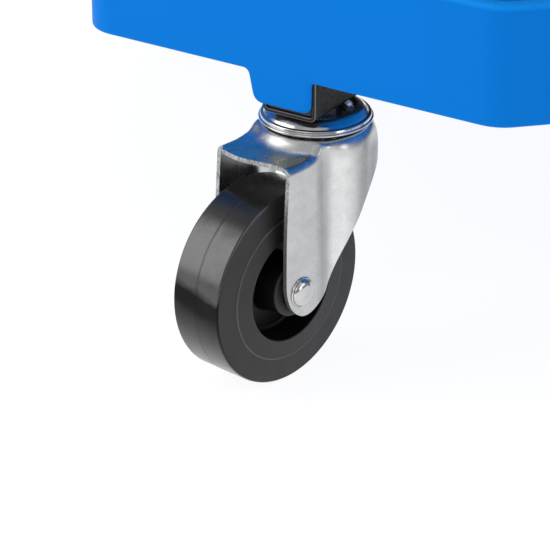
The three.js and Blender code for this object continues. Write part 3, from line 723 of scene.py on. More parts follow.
def fork_mesh():
    side = spline(plan_side(), 400)
    low = spline(LOW_EDGE, 500)
    flat_x = 13.2  # ahead of this the columns fan out over the flat leg
    # columns of one side
    cols = []
    low_flat = low[low[:, 0] >= flat_x]
    lf = spline(low_flat.tolist(), 22)
    xt = np.linspace(33.4, flat_x, 22)
    for k in range(22):
        y = np.interp(-xt[k], -side[:, 0], side[:, 1])
        cols.append((xt[k], y, lf[k, 0], lf[k, 1]))
    rest = side[side[:, 0] < flat_x - 0.4]
    rest = spline(rest.tolist(), 40)
    for x, y in rest:
        z = np.interp(-x, -low[:, 0][np.argmax(low[:, 0] < 26):], low[:, 1][np.argmax(low[:, 0] < 26):])
        cols.append((x, y, x, z))
    # outline normals in plan
    pts = np.array([(c[0], c[1]) for c in cols])
    tang = np.gradient(pts, axis=0)
    nrm = np.stack([-tang[:, 1], tang[:, 0]], 1)
    nrm /= np.linalg.norm(nrm, axis=1)[:, None]
    sign = np.sign((nrm * pts).sum(1))
    nrm *= np.where(sign == 0, 1, sign)[:, None]
    nrm[-1] = (-1, 0)
    nrm[0] = (0, 1)
    # the legs bend over a small radius, the shoulder over a tall round one
    tall = smoothstep(-pts[:, 0], -13.0, -1.0)
    bend = 3.0 + 0.6 * tall
    drop = 3.0 + 6.4 * tall
    allc = []
    for k, c in enumerate(cols):
        allc.append((*c, nrm[k, 0], nrm[k, 1], bend[k], drop[k]))
    mirrored = [(c[0], -c[1], c[2], c[3], c[4], -c[5], c[6], c[7]) for c in allc[:-1]][::-1]
    walls = allc + mirrored
    nw = len(walls)
    # the plate's front edge, from the far corner round to the near corner
    fy = np.linspace(-FORK_HALF + bend[0], FORK_HALF - bend[0], 26)[1:-1]
    fx = np.interp(fy, [-18, -12.4, -5.6, -0.8, 2.8, 6.3, 10.1, 13.8, 18], [34.0, 35.8, 36.7, 36.3, 35.1, 34.0, 33.1, 32.9, 33.4])
    k5 = np.array([1, 2, 3, 2, 1]) / 9.0
    fx = np.convolve(np.r_[[fx[0]] * 2, fx, [fx[-1]] * 2], k5, "valid")
    edge_in = []  # where the plate ends, in plan
    for c in walls:
        edge_in.append((c[0] - c[4] * c[6], c[1] - c[5] * c[6]))
    for x, y in zip(fx, fy):
        edge_in.append((x, y))
    edge_in = np.array(edge_in)
    n = len(edge_in)
    verts = []
    radii = [6.0, 11.0, 15.0, 16.8, 17.4]
    ang = np.arctan2(edge_in[:, 1], edge_in[:, 0])
    for r in radii:
        for a in ang:
            verts.append((r * math.cos(a), r * math.sin(a), FORK_TOP + boss_height(r)))
    fr = [0.04, 0.08, 0.12, 0.17, 0.22, 0.28, 0.35, 0.43, 0.52, 0.62, 0.73, 0.84, 0.93, 1.0]
    for f in fr:
        for a, q in zip(ang, edge_in):
            p0 = np.array((17.4 * math.cos(a), 17.4 * math.sin(a)))
            p = p0 + (q - p0) * f
            verts.append((p[0], p[1], FORK_TOP + boss_height(np.hypot(*p))))
    rows_top = len(radii) + len(fr)
    faces = grid_faces(rows_top, n, close_cols=True)
    last = (rows_top - 1) * n
    # bend and wall rows, walls only
    ztop = [FORK_TOP + boss_height(np.hypot(*edge_in[k])) for k in range(nw)]
    ring = [list(range(last, last + nw))]
    for a in np.linspace(0, math.pi / 2, 11)[1:]:
        row = []
        for k, c in enumerate(walls):
            b = c[6]
            row.append(len(verts))
            verts.append(
                (
                    edge_in[k][0] + c[4] * b * math.sin(a),
                    edge_in[k][1] + c[5] * b * math.sin(a),
                    ztop[k] - c[7] * (1 - math.cos(a)),
                )
            )
        ring.append(row)
    steps = 18
    for s in range(1, steps + 1):
        f = s / steps
        row = []
        for k, c in enumerate(walls):
            za = ztop[k] - c[7]
            near = min(k, nw - 1 - k)
            x = c[0] + (c[2] - c[0]) * f + 0.5 * math.sin(math.pi * f) * max(0.0, 1 - near / 9)
            z = za + (c[3] - za) * f
            y = c[1]
            # the pressed groove runs out downwards
            flat = FORK_HALF * (1 if y > 0 else -1)
            fade = 1 - smoothstep(np.array(78.0 - z), 0.0, 34.0)
            if abs(y) < FORK_HALF:
                y = flat + (y - flat) * float(fade)
            row.append(len(verts))
            verts.append((x, y, z))
        ring.append(row)
    for r in range(len(ring) - 1):
        for k in range(nw - 1):
            faces.append((ring[r][k], ring[r][k + 1], ring[r + 1][k + 1], ring[r + 1][k]))
    # outside faces out: the top must look up
    v = np.array(verts)
    up = 0.0
    for f in faces[: (rows_top - 1) * n]:
        up += np.cross(v[f[2]] - v[f[0]], v[f[3]] - v[f[1]])[2]
    if up < 0:
        faces = [tuple(reversed(f)) for f in faces]
    v, faces, mats = thicken(v, faces, FORK_SHEET)
    me = bpy.data.meshes.new("fork")
    me.from_pydata((v / 1000).tolist(), [], faces)
    me.materials.append(M_FORK)
    me.materials.append(M_CUT)
    me.polygons.foreach_set("material_index", mats)
    me.update()
    me.shade_smooth()
    return me


def cap_profile():
    return supported(
        rounded_path(
            [
                (5.5, 93.0, 0), (12.2, 93.0, 1.0), (14.0, 95.5, 1.0), (17.2, 95.5, 0.8), (18.5, 93.4, 0.4),
                (20.9, 93.7, 0.7), (21.4, 94.6, 0.45), (20.45, 94.85, 0.12), (20.65, 95.1, 0.12), (20.4, 96.0, 0.5),
                (19.35, 96.1, 0.2), (18.7, 96.95, 1.4), (17.3, 98.1, 2.2), (15.4, 98.75, 2.0), (13.6, 98.0, 1.0),
                (12.6, 95.7, 1.0), (11.4, 94.8, 0.8), (5.5, 94.5, 0),
            ],
            7,
        ),
        0.2,
        2.0,
    )


def on_axle():
    return Matrix.Translation(Vector((TRAIL, 0, WHEEL_R))) @ Matrix.Rotation(-math.pi / 2, 4, "X")


def tyre_mesh():
    h = WHEEL_W / 2
    R = WHEEL_R
    prof = rounded_path(
        [
            (TYRE_INNER_R - GAP, -h - HUB_RAISE + 0.42, 0.12), (R - 0.12, -h, 0.75), (R, 0, 0), (R - 0.12, h, 0.75),
            (TYRE_INNER_R - GAP, h + HUB_RAISE - 0.42, 0.12),
        ],
        8,
    )
    prof = supported(prof, 0.35, 3.0)
    # the mould's parting line, a low uneven ridge
    out = []
    for r, y in prof:
        if abs(y) < 1e-6 and r > 30:
            out += [(R - 0.02, -0.95), (R, -0.55), (R, -0.24), (R, 0.0), (R, 0.24), (R, 0.55), (R - 0.02, 0.95)]
        else:
            out.append((r, y))
    # a crown of points between the edge and the middle, and points across the side
    dense = []
    m = len(out)
    for i in range(m):
        a, b = np.array(out[i]), np.array(out[(i + 1) % m])
        d = np.linalg.norm(b - a)
        k = 1 if d < 1.5 else (6 if a[0] > 30 or b[0] > 30 else 2)
        for j in range(k):
            dense.append(tuple(a + (b - a) * j / k))
    seg = 192
    t = np.linspace(0, 2 * math.pi, seg, endpoint=False)
    verts = []
    rng = np.random.default_rng(4)
    ph = rng.uniform(0, 2 * math.pi, 8)
    for r, y in dense:
        for a in t:
            rr, yy = r, y
            if abs(y) <= 0.56 and r > 30:
                wob = 0.5 + 0.5 * math.sin(5 * a + ph[0]) * math.sin(17 * a + ph[1])
                rr = R - 0.22 + 0.05 * wob if abs(y) > 0.4 else R + 0.02 * wob - 0.01
                yy = y + 0.10 * math.sin(3 * a + ph[2]) + 0.05 * math.sin(23 * a + ph[3])
            verts.append((rr * math.cos(a), rr * math.sin(a), yy))
    faces = grid_faces(len(dense), seg, close_rows=True, close_cols=True)
    fm = []
    for i in range(len(dense)):
        r0, y0 = dense[i]
        r1, y1 = dense[(i + 1) % len(dense)]
        tread = min(r0, r1) > R - 1.0
        fm += [0 if tread else 1] * seg
    v = np.array(verts)
    T = np.array(on_axle())
    v = v @ T[:3, :3].T + T[:3, 3]
    return make_mesh("tyre", v, faces, [M_TREAD, M_SIDE], fm, 40.0, flip=None)


def hub_mesh():
    R = TYRE_INNER_R
    h = WHEEL_W / 2
    half = [
        (HUB_BOSS_R - 4, HUB_BOSS_HALF, 0.4), (HUB_BOSS_R, HUB_BOSS_HALF, 0.7), (HUB_BOSS_R + 0.5, 2.4, 1.2),
        (HUB_RECESS_R - 0.7, 2.4, 1.4), (HUB_RECESS_R, h + HUB_LIP, 0.45), (R, h + HUB_RAISE - 0.12, 0.55),
    ]
    prof = [(r, z, q) for r, z, q in half] + [(r, -z, q) for r, z, q in reversed(half)]
    path = supported(rounded_path(prof, 5), 0.25, 1.5)
    seg = 128
    verts, faces = lathe(path, seg)
    fm = []
    for i in range(len(path)):
        r0, z0 = path[i]
        r1, z1 = path[(i + 1) % len(path)]
        rm, zm = (r0 + r1) / 2, abs(z0 + z1) / 2
        # faces inside the recess get the darker, painted-shade material
        inside = HUB_BOSS_R - 0.2 < rm < HUB_RECESS_R + 0.05 and zm < h + HUB_LIP - 0.3
        # the hub's outer edge gets the lighter, painted-highlight material
        edge = rm > R - 0.5 and zm > h + 0.5
        fm += [1 if inside else 2 if edge else 0] * seg
    T = np.array(on_axle())
    v = np.array(verts) @ T[:3, :3].T + T[:3, 3]
    return make_mesh("hub", v, faces, [M_HUB, M_RECESS_SHADE, M_RING_HIGHLIGHT], fm, 35.0, flip=None)


def rivet_mesh():
    a = FORK_HALF + 0.05
    near = [(5.2 * math.sin(t), a + 0.6 + 2.15 * math.cos(t)) for t in np.linspace(0, math.pi / 2, 18)]
    near += [(5.22, a + 0.28), (5.34, a + 0.26), (5.5, a + 0.5), (5.7, a + 0.42), (RIVET_HEAD_R, a + 0.2), (RIVET_HEAD_R - 0.1, a)]
    near += [(RIVET_R - 0.1, a), (RIVET_R - 0.1, -a)]
    far = [(5.4 * math.sin(t), -a - 0.3 - 1.6 * math.cos(t)) for t in np.linspace(math.pi / 2, 0, 10)]
    near += [(5.4, -a)] + far
    prof = near
    T = on_axle()
    return lathe_mesh("rivet", prof, [M_ZINC_BRIGHT], 64, closed=False, sharp=40.0, transform=T)


def ball_ring_mesh():
    bm = bmesh.new()
    for k in range(22):
        a = 2 * math.pi * k / 22
        m = Matrix.Translation(Vector((16.0 * math.cos(a), 16.0 * math.sin(a), FORK_TOP + SEAT_RISE + 1.93)) / 1000)
        bmesh.ops.create_icosphere(bm, subdivisions=3, radius=0.0019, matrix=m)
    me = bpy.data.meshes.new("balls")
    bm.to_mesh(me)
    bm.free()
    me.materials.append(M_STEEL)
    me.shade_smooth()
    return me


def hex_head(name, flats, z0, z1, mats, chamfer_top=True, transform=None):
    """A hexagon head whose corners are turned off at a chamfer."""
    bm = bmesh.new()
    R = flats / 2 / math.cos(math.pi / 6)
    seg = 72
    rows = []
    ins = flats / 2 * 0.97
    drop = (R - ins) * math.tan(math.radians(30))
    levels = [(z0, R, drop)] if chamfer_top == "both" else [(z0, R, 0)]
    up = z1 > z0
    sgn = 1 if up else -1

    def radius_at(a):
        b = (a + math.pi / 6) % (math.pi / 3) - math.pi / 6
        return flats / 2 / math.cos(b)

    def ring(z_of):
        out = []
        for k in range(seg):
            a = 2 * math.pi * k / seg
            r = radius_at(a)
            out.append(bm.verts.new((r * math.cos(a) / 1000, r * math.sin(a) / 1000, z_of(r) / 1000)))
        return out

    low = ring(lambda r: z0)
    mid = ring(lambda r: z1 - sgn * max(0.0, (r - ins)) * math.tan(math.radians(30)) - sgn * 0.05)
    top = [
        bm.verts.new((ins * math.cos(2 * math.pi * k / seg) / 1000, ins * math.sin(2 * math.pi * k / seg) / 1000, z1 / 1000))
        for k in range(seg)
    ]
    for k in range(seg):
        j = (k + 1) % seg
        bm.faces.new((low[k], low[j], mid[j], mid[k]))
        bm.faces.new((mid[k], mid[j], top[j], top[k]))
    bm.faces.new(top)
    bm.faces.new(low[::-1])
    bmesh.ops.recalc_face_normals(bm, faces=bm.faces)
    if transform is not None:
        bmesh.ops.transform(bm, matrix=transform, verts=bm.verts)
    me = bpy.data.meshes.new(name)
    bm.to_mesh(me)
    bm.free()
    for m in mats:
        me.materials.append(m)
    me.shade_smooth()
    me.set_sharp_from_angle(angle=math.radians(25))
    return me


def stem_mesh():
    top = TUBE_Z0 + TUBE_WALL + 14
    z = FORK_TOP - SHEET
    prof = [(0, z - 4.2), (3.4, z - 4.1), (5.2, z - 3.8), (7.2, z - 2.8), (8.0, z - 1.6), (8.0, z - GAP), (STEM_R, z - GAP)]
    zz = TUBE_Z0 + 1.0
    prof.append((STEM_R, zz))
    # thread crests above the tube's lower wall
    while zz < top - 1.6:
        prof += [(STEM_R - 0.55, zz + 0.6), (STEM_R, zz + 1.2)]
        zz += 1.25
    prof += [(STEM_R - 1.0, top), (0, top)]
    shaft = lathe_mesh("stem_shaft", prof, [M_ZINC], 48, closed=False, sharp=40.0)
    collar = hex_head("stem_collar", 17.0, 94.35, TUBE_Z0 - GAP, [M_ZINC])
    return join_meshes("stem", [shaft, collar])


def nut_mesh(flats, z0, z1):
    return hex_head("nut", flats, z0, z1, [M_ZINC])


def build_casters():
    fork = fork_mesh()
    cap = lathe_mesh("cap", cap_profile(), [M_ZINC_BRIGHT], 160, sharp=60.0)
    tyre = tyre_mesh()
    hub = hub_mesh()
    rivet = rivet_mesh()
    balls = ball_ring_mesh()
    stem = stem_mesh()
    nut = nut_mesh(15.0, TUBE_Z0 + TUBE_WALL + GAP, TUBE_Z0 + TUBE_WALL + GAP + 8)
    l = FORK_HALF - SHEET - GAP
    sleeve = lathe_mesh(
        "sleeve",
        rounded_path([(RIVET_R + 0.2, -l, 0.2), (6.05, -l, 0.4), (6.05, l, 0.4), (RIVET_R + 0.2, l, 0.2)], 3),
        [M_STEEL],
        48,
        transform=on_axle(),
    )
    for i, c in enumerate(CORNERS):
        a = math.radians(225 + 90 * i)
        m = shift(SWIVEL_D * math.cos(a), SWIVEL_D * math.sin(a), 0) @ turn_z(CASTER_YAWS[i])
        sw, wh = f"caster_{c}_swivel", f"caster_{c}_wheel"
        o = place(f"{c}_fork_sheet", fork, sw, [f"caster_{c}_fork"], m)
        b = o.modifiers.new("edge", "BEVEL")
        b.width = 0.00028
        b.segments = 2
        b.material = 0
        b.limit_method = "ANGLE"
        b.angle_limit = math.radians(60)
        b.harden_normals = False
        b.use_clamp_overlap = True
        w = o.modifiers.new("even_normals", "WEIGHTED_NORMAL")
        w.weight = 50
        place(f"{c}_race_cap", cap, "frame", [f"caster_{c}_cap"], m)
        place(f"{c}_stem_screw", stem, "frame", [f"caster_{c}_stem"], m)
        place(f"{c}_nut", nut, "frame", [f"caster_{c}_stem_nut"], m)
        place(f"{c}_balls", balls, sw, [f"caster_{c}_ball_race"], m)
        place(f"{c}_rivet", rivet, sw, [f"caster_{c}_axle_rivet"], m)
        place(f"{c}_sleeve", sleeve, sw, [f"caster_{c}_axle_sleeve"], m)
        place(f"{c}_tyre", tyre, wh, [f"caster_{c}_wheel_tyre"], m)
        place(f"{c}_hub", hub, wh, [f"caster_{c}_wheel_hub"], m)


# ---------------------------------------------------------------- square tubes
def square_outline(h, r, steps=5):
    return rounded_path([(-h, -h, r), (h, -h, r), (h, h, r), (-h, h, r)], steps)


def tube_mesh(name, x0, x1, half, wall, corner, zc, mats, axis="X", lip=0.3):
    """A hollow square tube along X (or Z), both ends open, its end edges slightly rounded."""
    outer = square_outline(half, corner, 6)
    inner = square_outline(half - wall, max(corner - wall, 0.5), 6)
    o2 = square_outline(half - lip, max(corner - lip, 0.4), 6)
    i2 = square_outline(half - wall + lip, max(corner - wall + lip, 0.4), 6)
    rings = [
        (outer, x0 + lip), (outer, x1 - lip), (square_outline(half - lip * 0.3, corner, 6), x1 - lip * 0.3), (o2, x1),
        (i2, x1), (inner, x1 - lip), (inner, x0 + lip), (i2, x0), (o2, x0),
        (square_outline(half - lip * 0.3, corner, 6), x0 + lip * 0.3),
    ]
    n = len(outer)
    verts = []
    for ring, x in rings:
        for y, z in ring:
            verts.append((x, y, z + zc) if axis == "X" else (y, z, x))
    faces = grid_faces(len(rings), n, close_rows=True, close_cols=True)
    # the rings of the end edges get the second material, a grey that paints the edges' highlights
    painted_light = {1, 2, 4, 6, 8, 9} if len(mats) > 1 else set()
    fm = [1 if i // n in painted_light else 0 for i in range(len(faces))]
    return make_mesh(name, verts, faces, mats, fm, 30.0, flip=None)


def weld_bead(name, path, radius, seed):
    """A rippled weld bead along a path of points."""
    p = np.array(path, float)
    d = np.r_[0, np.cumsum(np.linalg.norm(np.diff(p, axis=0), axis=1))]
    n = max(12, int(d[-1] / 0.45))
    w = np.linspace(0, d[-1], n)
    q = np.stack([np.interp(w, d, p[:, c]) for c in range(3)], 1)
    t = np.gradient(q, axis=0)
    t /= np.linalg.norm(t, axis=1)[:, None]
    rng = np.random.default_rng(seed)
    seg = 12
    verts = []
    for k in range(n):
        ripple = 1 + 0.12 * math.sin(w[k] * 2 * math.pi / 1.9) + 0.05 * rng.standard_normal()
        if k in (0, n - 1):
            ripple = 0.05
        up = np.array((0.0, 0.0, 1.0)) if abs(t[k][2]) < 0.8 else np.array((1.0, 0.0, 0.0))
        s = np.cross(t[k], up)
        s /= np.linalg.norm(s)
        u = np.cross(s, t[k])
        for j in range(seg):
            a = 2 * math.pi * j / seg
            verts.append(q[k] + radius * ripple * (math.cos(a) * s + math.sin(a) * u))
    faces = grid_faces(n, seg, close_cols=True)
    faces.append(tuple(range(seg)))
    faces.append(tuple((n - 1) * seg + j for j in range(seg)))
    return make_mesh(name, verts, faces, [M_WELD], None, 60.0, flip=None)


def build_base():
    zc = TUBE_SHOW_Z0 + TUBE_SHOW / 2
    both = [M_COAT, M_EDGE_HIGHLIGHT]
    long_tube = tube_mesh("long_tube", -TUBE_END_D, TUBE_END_D, TUBE_SHOW / 2, TUBE_WALL, TUBE_CORNER, zc, both)
    short_tube = tube_mesh("short_tube", TUBE_SHOW / 2 + GAP, TUBE_END_D, TUBE_SHOW / 2, TUBE_WALL, TUBE_CORNER, zc, both)
    place("cross_tube_long", long_tube, "frame", ["base_tube_long"], turn_z(45))
    place("cross_tube_right", short_tube, "frame", ["base_tube_short_right"], turn_z(-45))
    place("cross_tube_left", short_tube, "frame", ["base_tube_short_left"], turn_z(135))
    h = TUBE_SHOW / 2
    beads = []
    x = h + 0.2
    for k, (y0, y1) in enumerate(((-h + 2, h - 2),)):
        beads.append(weld_bead("bead_low", [(x, y0, TUBE_SHOW_Z0 + 0.2), (x, y1, TUBE_SHOW_Z0 + 0.2)], 1.5, 11))
        beads.append(weld_bead("bead_high", [(x, y0, TUBE_SHOW_Z0 + TUBE_SHOW - 1.1), (x, y1, TUBE_SHOW_Z0 + TUBE_SHOW - 1.1)], 1.0, 12))
    for s in (-1, 1):
        beads.append(weld_bead("bead_side", [(x, s * (h + 0.1), TUBE_SHOW_Z0 + 2), (x, s * (h + 0.1), TUBE_SHOW_Z0 + TUBE_SHOW - 2.2)], 1.7, 13 + s))
    weld = join_meshes("weld", beads)
    place("weld_right", weld, "frame", (), turn_z(-45))
    place("weld_left", weld, "frame", (), turn_z(135))
    # end plug with a dished face
    ph = TUBE_SHOW / 2 - TUBE_WALL - GAP * 0.4
    rings = [
        (square_outline(ph, 1.2, 5), TUBE_END_D - 7.2), (square_outline(ph, 1.2, 5), TUBE_END_D - 1.1),
        (square_outline(ph - 0.5, 1.0, 5), TUBE_END_D - 0.6), (square_outline(ph - 1.7, 0.8, 5), TUBE_END_D - 0.6),
        (square_outline(ph - 2.0, 0.7, 5), TUBE_END_D - 1.6), (square_outline(ph - 5.0, 0.6, 5), TUBE_END_D - 1.9),
    ]
    n = len(rings[0][0])
    verts = [(x, y, z + zc) for ring, x in rings for y, z in ring]
    faces = grid_faces(len(rings), n, close_cols=True)
    faces.append(tuple(range(n)))
    faces.append(tuple((len(rings) - 1) * n + j for j in range(n)))
    plug = make_mesh("plug", verts, faces, [M_PLUG], None, 35.0, flip=None)
    for i, c in enumerate(CORNERS):
        place(f"{c}_plug", plug, "frame", [f"tube_plug_{c}"], turn_z(225 + 90 * i))


# ---------------------------------------------------------------- tool tray
def tab_edge():
    """The skirt's lower edge across a corner face: [along, height, radius] corners, then a dense path."""
    pts = [
        (-34.0, TRAY_Z0, 0), (-16.9, TRAY_Z0, 2.6), (-14.2, TAB_Z0, 4.2), (9.8, TAB_Z0, 3.4), (10.2, TRAY_Z0, 1.3),
        (34.0, TRAY_Z0, 0),
    ]
    path = rounded_path(pts, 10, closed=False)
    out = []
    for i in range(len(path) - 1):
        a, b = np.array(path[i]), np.array(path[i + 1])
        d = np.linalg.norm(b - a)
        k = max(1, int(math.ceil(d / 2.2)))
        for j in range(k):
            out.append(a + (b - a) * j / k)
    out.append(np.array(path[-1]))
    return np.array(out)


def side_sag(y):
    """How far the left and right sides stand in from the tray's full width."""
    k = math.sqrt(2) * CHAMFER_D - TRAY_HALF
    return TRAY_WAIST * np.maximum(0.0, 1 - (np.asarray(y, float) / k) ** 2)


def waist_corner():
    """Where a drawn-in side ends, and the point where its corner's arc meets the corner face."""
    k = math.sqrt(2) * CHAMFER_D - TRAY_HALF
    lo, hi = 60.0, k
    for _ in range(60):
        y = (lo + hi) / 2
        phi = math.atan(2 * TRAY_WAIST * y / k**2)
        cx = TRAY_HALF - float(side_sag(y)) - WAIST_CORNER_R * math.cos(phi)
        cy = y + WAIST_CORNER_R * math.sin(phi)
        if (cx + cy) / math.sqrt(2) > CHAMFER_D - WAIST_CORNER_R:
            hi = y
        else:
            lo = y
    q = WAIST_CORNER_R * math.sqrt(0.5)
    return y, (cx + q, cy + q)


def tray_columns():
    """Round the tray's outer outline: plan point, outward normal, lower edge point (shift along the face, height) and its inward normal, and edge radius."""
    cols = []
    flat_half = math.sqrt(2) * CHAMFER_D - TRAY_HALF
    face_half = TRAY_CHAMFER / 2
    cut = TRAY_CORNER_R * math.tan(math.radians(22.5))
    tab = tab_edge()
    tang = np.gradient(tab, axis=0)
    inn = np.stack([-tang[:, 1], tang[:, 0]], 1)
    inn /= np.linalg.norm(inn, axis=1)[:, None]
    end_y, (wx, wy) = waist_corner()
    waist_half = abs(wy - wx) / math.sqrt(2)  # where a corner face ends beside a drawn-in side
    for side in range(8):
        ang = math.radians(-90 + 45 * side)
        nx, ny = math.cos(ang), math.sin(ang)
        tx, ty = -ny, nx
        d = TRAY_HALF if side % 2 == 0 else CHAMFER_D

        def flat(s, z=TRAY_Z0, a=0.0, b=1.0, r=1.0):
            cols.append((nx * d + tx * s, ny * d + ty * s, nx, ny, tx, ty, 0.0, z, a, b, r))

        if side in (2, 6):
            for s in np.linspace(-end_y, end_y, 33):
                k = 2 * TRAY_WAIST * s / flat_half**2
                l = math.hypot(1, k)
                ux, uy = (nx - tx * k) / l, (ny - ty * k) / l
                e = d - side_sag(s)
                cols.append((nx * e + tx * s, ny * e + ty * s, ux, uy, -uy, ux, 0.0, TRAY_Z0, 0.0, 1.0, 1.0))
        elif side in (0, 4):
            for s in np.linspace(-(flat_half - cut), flat_half - cut, 9):
                flat(s)
        else:
            first = waist_half if side in (3, 7) else face_half - cut
            last = waist_half if side in (1, 5) else face_half - cut
            for s in np.linspace(-first, -34.0, 5)[:-1]:
                flat(s)
            for (s, z), (a, b) in zip(tab, inn):
                w = float(smoothstep(np.array(s), 4.7, 7.7) * (1 - smoothstep(np.array(s), 12.0, 18.0)))
                flat(s, z, a, b, 1.0 + 2.3 * w)
            for s in np.linspace(34.0, last, 5)[1:]:
                flat(s)
        # rounded corner to the next side
        tilt = math.atan(2 * TRAY_WAIST * end_y / flat_half**2)
        if side in (1, 2, 5, 6):
            R = WAIST_CORNER_R
            sx, sy = (1 if side in (1, 2) else -1), (-1 if side in (1, 6) else 1)
            cx, cy = sx * (wx - R * math.sqrt(0.5)), sy * (wy - R * math.sqrt(0.5))
            a0 = ang if side in (1, 5) else ang - tilt
            a1 = ang + math.radians(45) + (tilt if side in (1, 5) else 0.0)
        else:
            R = TRAY_CORNER_R
            half = (face_half if side in (3, 7) else flat_half) - cut
            cx = nx * (d - R) + tx * half
            cy = ny * (d - R) + ty * half
            a0, a1 = ang, ang + math.radians(45)
        for k in range(1, 16):
            a2 = a0 + (a1 - a0) * k / 16
            ux, uy = math.cos(a2), math.sin(a2)
            cols.append((cx + R * ux, cy + R * uy, ux, uy, -uy, ux, 0.0, TRAY_Z0, 0.0, 1.0, 1.0))
    return cols


def tray_mesh():
    cols = tray_columns()
    T = TRAY_WALL
    rows = []

    def row(fn):
        out = []
        for c in cols:
            s, z, d = fn(c)
            out.append((c[0] + c[4] * s - c[2] * d, c[1] + c[5] * s - c[3] * d, z))
        rows.append(out)

    steps = 7
    # the lower edge, from the outer face under to the inner face
    for k in range(steps):
        th = math.radians(90 * k / (steps - 1))
        row(lambda c, th=th: (c[8] * c[10] * (1 - math.sin(th)), c[7] + c[9] * c[10] * (1 - math.sin(th)), min(c[10], 0.95) * (1 - math.cos(th))))
    ri = 0.25

    def skirt_t(c):
        return TAB_T if c[9] < 0.999 or c[7] < TRAY_Z0 - 0.5 else T

    for k in range(3):
        th = math.radians(45 * k)
        row(lambda c, th=th: (c[8] * ri * (1 - math.cos(th)), c[7] + c[9] * ri * (1 - math.cos(th)), skirt_t(c) - ri + ri * math.sin(th)))
    zmid = TRAY_Z0 + 6.0

    def level(d, z):
        row(lambda c: (c[8] * c[10], z, d))

    row(lambda c: (c[8] * c[10], FLOOR_Z0 - 2.0, skirt_t(c)))
    row(lambda c: (c[8] * c[10], FLOOR_Z0 + 0.8, skirt_t(c)))

    upper = rounded_path(
        [
            (T, FLOOR_Z0 + 1.0, 0), (6.4, FLOOR_Z1 - 1.2, 0), (6.0, FLOOR_Z1 + 0.02, 0.0), (T, FLOOR_Z1, 3.2),
            (T, TRAY_RIM - 6.4, 1.6), (6.0, TRAY_RIM - 4.6, 1.0), (6.0, TRAY_RIM, 1.9), (0, TRAY_RIM, 3.9), (0, zmid + 15, 0), (0, zmid, 0),
        ],
        8,
        closed=False,
    )
    for d, z in upper:
        level(d, z)
    n = len(cols)
    verts = [p for r in rows for p in r]
    faces = grid_faces(len(rows), n, close_rows=True, close_cols=True)
    return make_mesh("tray_wall", verts, faces, [M_BLUE], None, 40.0, flip=None)


def rib_height(x, y):
    """Height of the tray's floor and ribs above the floor at a point."""
    def seg(px, py, ax, ay, bx, by):
        dx, dy = bx - ax, by - ay
        t = np.clip(((px - ax) * dx + (py - ay) * dy) / (dx * dx + dy * dy), 0, 1)
        return np.hypot(px - ax - t * dx, py - ay - t * dy)

    k = RING_HALF
    reach = TRAY_HALF + 5
    segs = [(-k, -k, k, -k), (k, -k, k, k), (k, k, -k, k), (-k, k, -k, -k)]
    for s in (-1, 1):
        segs += [
            (s * RIB_X, k, s * RIB_X, reach), (s * RIB_X, -k, s * RIB_X, -reach),
            (k, s * RIB_X, reach, s * RIB_X), (-k, s * RIB_X, -reach, s * RIB_X),
        ]
    h = np.zeros_like(x)
    H = RIB_TOP - FLOOR_Z1
    prof_d = np.array([0.0, 0.55, 0.95, 1.22, 1.34, 1.72, 1.95, 2.35, 2.9, 3.6])
    prof_h = np.array([H, H, H - 0.12, H - 0.5, H - 1.1, 2.2, 1.25, 0.55, 0.14, 0.0])
    for s in segs:
        h = np.maximum(h, np.interp(seg(x, y, *s), prof_d, prof_h))
    return h


